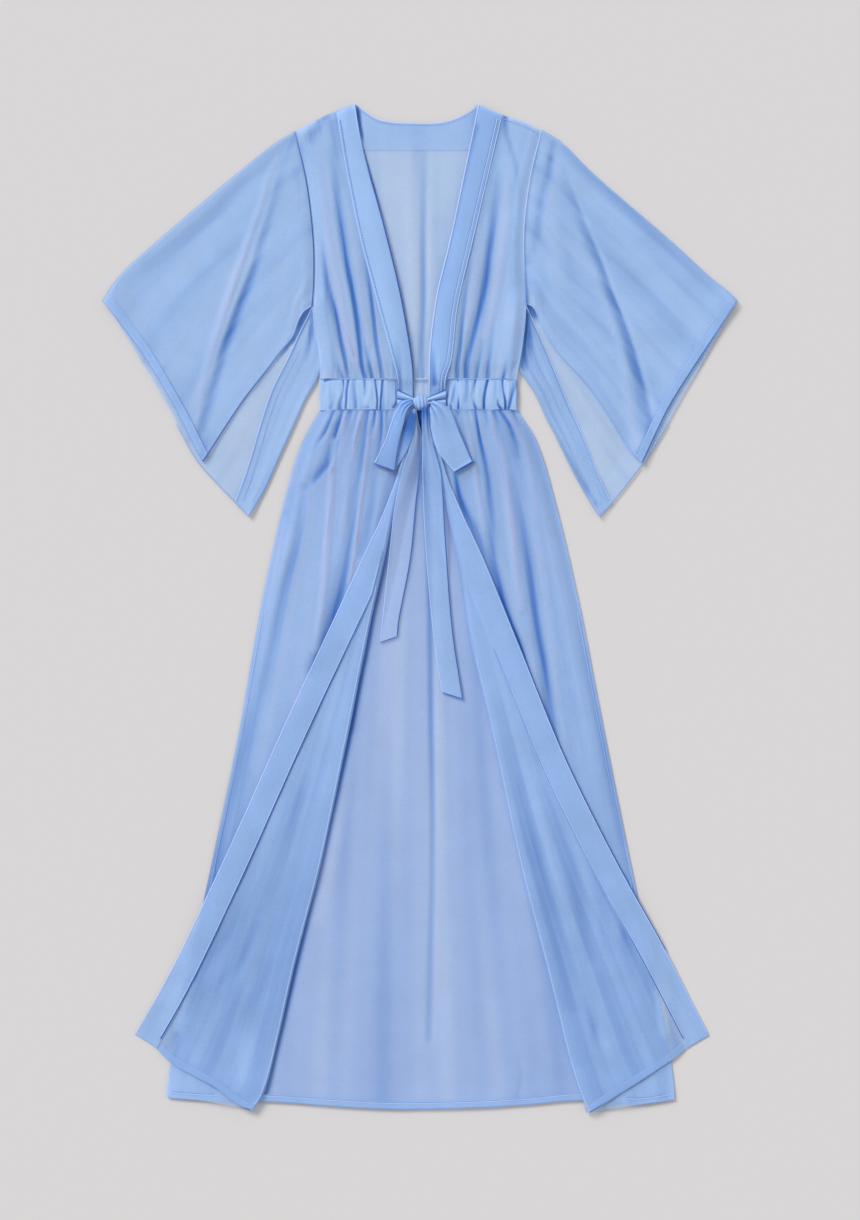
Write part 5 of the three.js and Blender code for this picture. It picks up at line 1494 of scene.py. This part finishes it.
def seam_rows():
    """Each visible seam, edge or line of stitches: what it follows and lies on, its width and its look, which
    paints a seam gap or a shadow dark and a lit edge pale.
    """
    rows = []

    def seam(edge, maps, wide, cloth, start=0.0, end=1.0, stitched=False):
        rows.append(dict(edge=edge, maps=maps, wide=wide, cloth=cloth, start=start, end=end,
                         stitched=stitched))

    # Cloth above 0 draws a dark line: a seam gap, or a painted shadow beside an edge that stands up; below 0
    # a pale line, a painted highlight on a lit edge.
    neck = smooth_line(BACK_NECK)
    seam(beside(neck, -0.8), ["neck_facing", "bodice_back"], 1.7, (-0.7, -0.9, -0.7), 0.04, 0.96)
    seam(beside(neck, -3.2), ["neck_facing", "bodice_back"], 1.1, (0.3, 0.5, 0.3), 0.05, 0.95)
    window = ["casing_back", "bodice_back"]
    seam(smooth_line([(-10, 328.5), (11, 328.5)]), window, 1.1, (0.6, 0.7, 0.6))
    seam(smooth_line([(-10, 332), (11, 332)]), window, 1.4, (-0.5, -0.5))
    for side, inward in (("left", 1), ("right", -1)):
        edges = SIDES[side]
        body = ["bodice_" + side]
        band = ["band_bodice_" + side]
        outer = smooth_line(edges["stitching"])
        inner = smooth_line([*edges["front"], edges["front_end"]])
        armhole = smooth_line(edges["armhole"])
        if side == "left":
            # The dark line along the left front's inner edge is a painted shadow
            seam(beside(inner, -0.7), band, 1.6, (-0.6, 1.0, 1.35, 1.35, 1.3), 0.0, 0.97)
            seam(beside(outer, 1.4), band, 1.2, (-0.1, -0.35, -0.3, -0.2), 0.03, 0.99)
            seam(beside(outer, 3.6), band, 1.7, (0.9, 0.8, 0.5, 0.6), 0.03, 0.99, True)
            # The left armhole line is a painted shadow of the seam's step
            seam(armhole, ["bodice_left", "sleeve_left"], 1.7, (0.7, 1.3, 1.35, 1.3))
        else:
            seam(beside(inner, 0.8), band, 2.0, (-0.8, -0.7, -0.6, -0.5), 0.0, 0.97)
            for offset in (1.0, 6.2):
                seam(beside(outer, -offset), band, 1.5, (-0.6, -0.6, -0.5), 0.02, 0.99)
                seam(beside(outer, -offset - 1.8), band, 1.2, (0.4, 0.4, 0.35), 0.02, 0.99, True)
            # The right armhole line is a painted highlight on the seam's step, dark at its lower end
            seam(armhole, ["bodice_right", "sleeve_right"], 1.4, (-0.6, -0.9, -0.9, -0.7, 0.3, 1.2))
            seam(beside(smooth_line(edges["shoulder"]), 5.5), body, 1.1, (0.4, 0.45, 0.2), 0.05, 0.98)
        casing = ["casing_" + side]
        casing_outer, casing_inner = edges["casing"]
        for height, cloth in zip((CASING_TOP - 0.5, CASING_BOTTOM + 0.8), CASING_SEAMS[side]):
            line = smooth_line([(casing_outer, height), (casing_inner, height)])
            seam(line, casing, 1.4, cloth, 0.01, 0.99)
        seam(smooth_line([(casing_inner, CASING_TOP), (casing_inner, CASING_BOTTOM)]), casing, 1.2,
             (0.3, 0.4, 0.3), 0.03, 0.97, True)
        skirt_seams(seam, side, inward)
        sleeve_seams(seam, side, inward)
        bow_seams(seam, side)
    hem = part(smooth_line(BACK_HEM), *BACK_HEM_PART)
    seam(beside(hem, 0.7), ["hem_back"], 1.4, (0.5, 0.6, 0.5))
    seam(beside(hem, HEM_WIDTH - 1.2), ["hem_back"], 1.0, (0.5, 0.55, 0.5), 0.02, 0.98, True)
    seam(beside(hem, HEM_WIDTH - 2.8), ["hem_back"], 1.2, (-0.4, -0.4))
    for side, ends in HEM_CORNERS.items():
        seam(beside(hem, HEM_WIDTH - 1.2), ["skirt_" + side], 1.0, (0.4, 0.5), *ends, True)
        seam(beside(hem, HEM_WIDTH - 2.8), ["skirt_" + side], 1.2, (-0.4, -0.4), *ends)
    return rows


def bow_seams(seam, side):
    loop, tail = ["loop_" + side], ["tail_" + side]
    over = [smooth_line(line) for line in LOOPS[side]["over"]]
    near, far = smooth_line(TAILS[side]["near"]), smooth_line(TAILS[side]["far"])
    # Dark lines along the right edges and ends of loops and tails are painted shadows; pale lines are painted
    # highlights
    seam(beside(over[1], -0.8), loop, 1.4, (0.4, 0.9, 1.2), 0.25, 0.98)
    seam(beside(over[0], 0.7), loop, 1.4, (-0.2, -0.4, -0.3), 0.25, 0.98)
    loop_end = smooth_line([line[-1] for line in LOOPS[side]["over"]])
    seam(beside(loop_end, 0.9), loop, 1.5, (1.0, 1.2, 1.1), 0.03, 0.97)
    tail_end = smooth_line([TAILS[side]["near"][-1], TAILS[side]["far"][-1]])
    seam(beside(far, -0.7), tail, 1.6, (0.8, 1.2, 1.25, 1.2), 0.12, 0.995)
    seam(beside(tail_end, 0.7), tail, 1.5, (0.9, 1.2, 1.1), 0.02, 0.98)
    seam(beside(near, 0.6), tail, 1.1, (-0.2, -0.5, -0.4), 0.15, 0.99)


def skirt_seams(seam, side, inward):
    edges = SIDES[side]
    band = ["band_skirt_" + side]
    free, turn = smooth_line(edges["free"]), smooth_line(edges["turn"])
    plan = shared["band_" + side]
    flank = beside(smooth_line(edges["skirt_side"]), 5.5 * inward)

    def inner(share):
        share = np.asarray(share, float)
        return plan(np.full(share.shape, 0.04), share)

    def beside_inner(share):
        share = np.asarray(share, float)
        return plan(np.full(share.shape, 0.085), share)

    hem = smooth_line(edges["flap_hem"])
    # Pale lines along the free and turned edges are painted highlights; the dark line beside the right free
    # edge is a painted shadow
    if side == "left":
        seam(beside(free, 0.8), band, 1.6, (-0.5, -0.9, -0.8, -0.5), 0.12, 0.995)
        seam(inner, band, 1.7, (0.6, 1.3, 1.35, 1.3, 1.3), 0.2, 0.985)
        seam(beside(turn, 0.3), ["skirt_left"], 1.2, (-0.2, -0.3, -0.3), 0.25, 0.99)
        seam(beside_inner, band, 1.2, (-0.4, -0.6, -0.5), 0.22, 0.98)
        seam(flank, ["skirt_left"], 1.1, (0.1, 0.4, 0.4), 0.3, 0.84)
    else:
        seam(beside(free, -0.6), band, 1.3, (-0.6, -0.5, -0.3), 0.12, 0.995)
        seam(beside(free, 0.8), band, 1.4, (0.7, 1.2, 1.3, 1.2), 0.18, 0.86)
        seam(beside(turn, -0.5), ["skirt_right"], 1.1, (-0.1, -0.4, -0.4, -0.3), 0.35, 0.99)
        seam(inner, band, 1.6, (0.3, 0.6, 0.6, 0.6), 0.35, 0.985, True)
        seam(inner, band, 1.4, (0.2, 1.1, 1.3, 1.2), 0.75, 0.985)
        seam(beside_inner, band, 1.2, (-0.3, -0.5, -0.4), 0.35, 0.98)
        seam(flank, ["skirt_right"], 1.1, (0.1, 0.45, 0.5), 0.3, 0.84)
    seam(beside(hem, -0.6 * inward), ["skirt_" + side], 1.4, (1.2, 0.9, 0.4, 0.4), 0.0, 1.0)
    seam(beside(hem, (1.5 - HEM_WIDTH) * inward), ["skirt_" + side], 1.0, (0.5, 0.5), 0.03, 0.8, True)
    seam(beside(hem, (3.0 - HEM_WIDTH) * inward), ["skirt_" + side], 1.2, (-0.4, -0.4), 0.03, 0.8)


def sleeve_seams(seam, side, inward):
    edges = SIDES[side]
    sleeve = ["sleeve_" + side]
    cuff = smooth_line(edges["cuff_over"])
    split = smooth_line(edges["split"])
    strip = smooth_line(edges["strip"])
    strong = side == "right"
    # Dark lines beside the layers' edges are partly seam gaps and partly painted shadows; pale lines are
    # painted highlights
    seam(beside(cuff, -0.7 * inward), sleeve, 1.4, (0.7, 1.2, 1.2) if strong else (0.5, 0.5, 0.6), 0.0, 1.0)
    seam(beside(cuff, 11.5 * inward), sleeve, 1.0, (0.8, 0.85, 0.7) if strong else (0.5, 0.5, 0.4), 0.03,
         0.98, True)
    seam(beside(cuff, 10.0 * inward), sleeve, 1.2, (-0.4, -0.4), 0.03, 0.98)
    seam(split, sleeve, 1.6, (0.2, 0.45, 0.4) if strong else (-0.6, 0.9, 1.25, 1.25), 0.0, 1.0)
    seam(strip, sleeve, 1.3, (-0.3, -0.6, -0.6, -0.4), 0.0, 1.0)
    seam(beside(strip, 1.7 * inward), sleeve, 1.2, (0.9, 0.6, 0.5, 0.5), 0.02, 0.99)
    seam(beside(strip, 10 * inward), sleeve, 1.0, (0.1, 0.2, 0.2) if strong else (0.2, 0.4, 0.4), 0.2, 0.97)
    under = smooth_line(edges["cuff_under"])
    seam(beside(under, -0.7 * inward), sleeve, 1.3, (0.5, 0.6, 0.5), 0.55, 1.0)


def make_seams():
    ribbons, stitches = [], []
    for row in seam_rows():
        points = on_top(row["edge"], row["maps"], row["start"], row["end"], 0.25)
        if row["stitched"]:
            stitches.append(stitch_row(points, STITCH_LENGTH, STITCH_GAP, 0.8 * row["wide"]))
        else:
            ribbons.append(seam_ribbon(points, row["wide"], row["cloth"]))
    points, faces = merged(ribbons)
    piece = new_mesh("seam_lines", points, faces, np.concatenate([ribbon[2] for ribbon in ribbons]))
    finish_piece(piece, chiffon("doubled"), "chiffon_doubled", [])
    points, faces = merged(stitches)
    finish_piece(new_mesh("stitches", points, faces), thread_material(), "chiffon_doubled", [])


class KIMONO_OT_seams(bpy.types.Operator):
    """Sew the visible seams, edges and lines of stitches, with painted shadows and highlights along the edges
    """
    bl_idname = "kimono.seams"
    bl_label = "Seams and stitches"

    def execute(self, context):
        make_seams()
        return {"FINISHED"}


# Bow

def make_tail(side):
    edges = TAILS[side]
    below = on("skirt_back", "casing_back", "skirt_" + side, "band_skirt_" + side,
               *(["tail_left"] if side == "right" else []))

    def relief(across, down, places):
        pinch = 1 - rise(down, 0, 0.25)
        return (0.8 + 1.0 * np.sin(np.pi * across) + pinch * 1.6 * np.sin(2 * np.pi * across + 0.8) ** 2
                + waves(places, 0.4, 61))

    shade = TAIL_SHADE[side]
    middle, half = (shade["start"] + shade["end"]) / 2, (shade["end"] - shade["start"]) / 2

    # Painted shadow of the knot at the top and of the loop along the inner side
    def tone(across, down):
        loop_shadow = (1 - rise(across, 0, 0.5)) * bump((down - middle) / half)
        return shade["whole"] + shade["top"] * (1 - rise(down, 0, 0.12)) + shade["side"] * loop_shadow

    sheet = spread(between(smooth_line(edges["near"]), smooth_line(edges["far"])), evenly(count_for(360)),
                   evenly(MESH_STEPS["tail"]), below, relief, tone=tone)
    lay_piece("tail_" + side, sheet, "skirt", "chiffon_doubled", flat=(0.03, 0.38), held="laid")


def make_fan(side):
    inner = SIDES[side]["casing"][1]
    to_knot = 1 if side == "left" else -1
    at_casing, at_knot = inner + to_knot * 0.5, KNOT["x"] - to_knot * (KNOT["wide"] / 2 - 4)
    first = smooth_line([(at_casing, FAN["casing_top"]), (at_knot, FAN["knot_top"])])
    last = smooth_line([(at_casing, FAN["casing_bottom"]), (at_knot, FAN["knot_bottom"])])

    def pleat(across):
        return np.sin(FAN["pleats"] * np.pi * across ** FAN["uneven"]) ** 2

    def relief(across, down, places):
        return 1.5 + 3 * down + FAN["high"] * pleat(across)

    # Painted shade in the pleats' hollows and a painted highlight on their crests
    def tone(across, down):
        return 1.25 * (1 - pleat(across)) ** 4 - 0.2 * pleat(across)

    sheet = spread(between(first, last), evenly(MESH_STEPS["pleats_down"]), evenly(MESH_STEPS["pleats"]),
                   on("band_bodice_" + side, "casing_back"), relief, tone=tone)
    lay_piece("fan_" + side, sheet, "doubled", "chiffon_doubled", flat=(0.032, 0.018), held="gathered")


def make_loop(side):
    edges = LOOPS[side]

    def leg(lines):
        plan = between(smooth_line(lines[0]), smooth_line(lines[1]))
        return lambda across, down: plan(down, across)

    below = [laid[name] for name in BELOW_BOW]
    rows = evenly(MESH_STEPS["loop"])
    # The lower leg is painted darker towards the knot: painted shade inside the loop
    lower = spread(leg(edges["under"]), rows, evenly(MESH_STEPS["loop_under"], 0.06, 0.985), Ground(*below),
                   tone=lambda across, down: 0.45 + 0.75 * (1 - rise(across, 0.1, 0.75)))

    def relief(across, down, places):
        pinch = 1.6 * (1 - rise(across, 0, 0.45))
        puffed = 3.2 * np.sin(np.pi * across) + 1.4 * np.sin(np.pi * down)
        return puffed + pinch * np.sin(3 * np.pi * down) ** 2

    # Painted shade in the pinched folds beside the knot
    def tone(across, down):
        pinch = 1 - rise(across, 0, 0.4)
        return TONE[side]["loop"] + 0.8 * pinch * np.cos(3 * np.pi * down) ** 4

    upper = spread(leg(edges["over"]), rows, evenly(MESH_STEPS["loop_over"])[::-1] * 0.985,
                   Ground(*below, marked(lower.points)), relief, tone=tone)
    # The fold at the loop's end is painted dark: folded cloth and painted shade
    sheet = folded_over(lower, upper, cloth=1.1)
    lay_piece("loop_" + side, sheet, "doubled", "chiffon_doubled", flat=(0.03, 0.21), held="folded",
              area=LOOP_AREA[side])


def make_knot():
    around, down = np.meshgrid(np.linspace(0, 2 * np.pi, 65), np.linspace(0.02, np.pi - 0.02, 41))
    x, y, z = np.sin(down) * np.cos(around), np.sin(down) * np.sin(around), np.cos(down)
    furrow = sum(deep * bump((x - at + 0.1 * y) / wide) for at, wide, deep in FURROWS)
    size = 1 - furrow
    below = on("band_bodice_left", "band_bodice_right", "casing_back", "fan_left", "fan_right")
    base = float(below.heights(np.array([KNOT["x"], KNOT["y"]]), below.marked))
    points = np.stack([KNOT["x"] + x * KNOT["wide"] / 2, KNOT["y"] + y * size * KNOT["long"] / 2,
                       base + KNOT["high"] / 2 + z * size * KNOT["high"] / 2], -1)
    # Painted shade in the furrows
    piece = grid_object("knot_cloth", Sheet(points, np.clip(furrow * 4, 0, 0.9) - 0.1))
    finish_piece(piece, chiffon("doubled"), "chiffon_doubled", ["knot"])


class KIMONO_OT_bow(bpy.types.Operator):
    """Tie the bow: tails, pleated ends, loops and knot"""
    bl_idname = "kimono.bow"
    bl_label = "Bow"

    def execute(self, context):
        for side in SIDES:
            make_tail(side)
            make_fan(side)
        for side in SIDES:
            make_loop(side)
        make_knot()
        return {"FINISHED"}


# Stage

class KIMONO_OT_stage(bpy.types.Operator):
    """Set the pale floor, the soft light and the camera straight above"""
    bl_idname = "kimono.stage"
    bl_label = "Stage"

    def execute(self, context):
        settings = context.scene.kimono_stage
        self.make_floor(context, settings)
        self.make_light(context, settings)
        self.make_camera(context, settings)
        context.scene.view_settings.view_transform = "Standard"
        return {"FINISHED"}

    def make_floor(self, context, settings):
        bpy.ops.mesh.primitive_plane_add(size=FLOOR_SIZE, location=(0, 0, -FLOOR_DEPTH))
        floor = context.active_object
        floor.name = "floor"
        material, tree, shader = new_material("Pale floor")
        shader.inputs["Base Color"].default_value = settings.floor_colour
        shader.inputs["Roughness"].default_value = 0.9
        shader.inputs["Specular IOR Level"].default_value = 0.1
        floor.data.materials.append(material)

    def make_light(self, context, settings):
        sun = bpy.data.lights.new("key", "SUN")
        sun.energy = settings.key_strength
        sun.angle = math.radians(LIGHT_WIDTH)
        key = bpy.data.objects.new("key", sun)
        key.rotation_euler = [math.radians(angle) for angle in LIGHT_TILT]
        context.scene.collection.objects.link(key)
        world = bpy.data.worlds.new("studio")
        world.use_nodes = True
        shade = world.node_tree.nodes["Background"]
        shade.inputs["Color"].default_value = (1.0, 0.99, 0.985, 1.0)
        shade.inputs["Strength"].default_value = settings.fill_strength
        context.scene.world = world

    def make_camera(self, context, settings):
        picture_height = PICTURE_ROWS * PIXEL_SIZE * MM
        camera = bpy.data.cameras.new("camera")
        camera.sensor_fit = "VERTICAL"
        camera.sensor_height = SENSOR
        camera.lens = SENSOR * settings.camera_height / picture_height
        camera.clip_end = 50
        view = bpy.data.objects.new("camera", camera)
        view.location = (PICTURE_MIDDLE[0] * MM, PICTURE_MIDDLE[1] * MM, settings.camera_height)
        context.scene.collection.objects.link(view)
        context.scene.camera = view


class KIMONO_PT_panel(bpy.types.Panel):
    """Settings and steps of the kimono"""
    bl_idname = "KIMONO_PT_panel"
    bl_label = "Beach Kimono"
    bl_space_type = "VIEW_3D"
    bl_region_type = "UI"
    bl_category = "Kimono"

    def draw(self, context):
        for group in (context.scene.kimono_cloth, context.scene.kimono_form, context.scene.kimono_stage):
            box = self.layout.box()
            for name in group.bl_rna.properties.keys():
                if name not in ("rna_type", "name"):
                    box.prop(group, name)
        for step in STEPS:
            self.layout.operator(step.bl_idname)


STEPS = (KIMONO_OT_stage, KIMONO_OT_sleeves, KIMONO_OT_bodice, KIMONO_OT_casing, KIMONO_OT_skirt,
         KIMONO_OT_bands, KIMONO_OT_bow, KIMONO_OT_seams)
GROUPS = {"kimono_cloth": KimonoCloth, "kimono_form": KimonoForm, "kimono_stage": KimonoStage}


def register():
    for name, group in GROUPS.items():
        bpy.utils.register_class(group)
        setattr(bpy.types.Scene, name, bpy.props.PointerProperty(type=group))
    for step in STEPS:
        bpy.utils.register_class(step)
    bpy.utils.register_class(KIMONO_PT_panel)


def unregister():
    bpy.utils.unregister_class(KIMONO_PT_panel)
    for step in reversed(STEPS):
        bpy.utils.unregister_class(step)
    for name, group in reversed(list(GROUPS.items())):
        delattr(bpy.types.Scene, name)
        bpy.utils.unregister_class(group)


def main():
    register()
    bpy.ops.kimono.stage()
    bpy.ops.kimono.sleeves()
    bpy.ops.kimono.bodice()
    bpy.ops.kimono.casing()
    bpy.ops.kimono.skirt()
    bpy.ops.kimono.bands()
    bpy.ops.kimono.bow()
    bpy.ops.kimono.seams()
    bpy.context.view_layer.update()


if __name__ == "__main__":
    main()
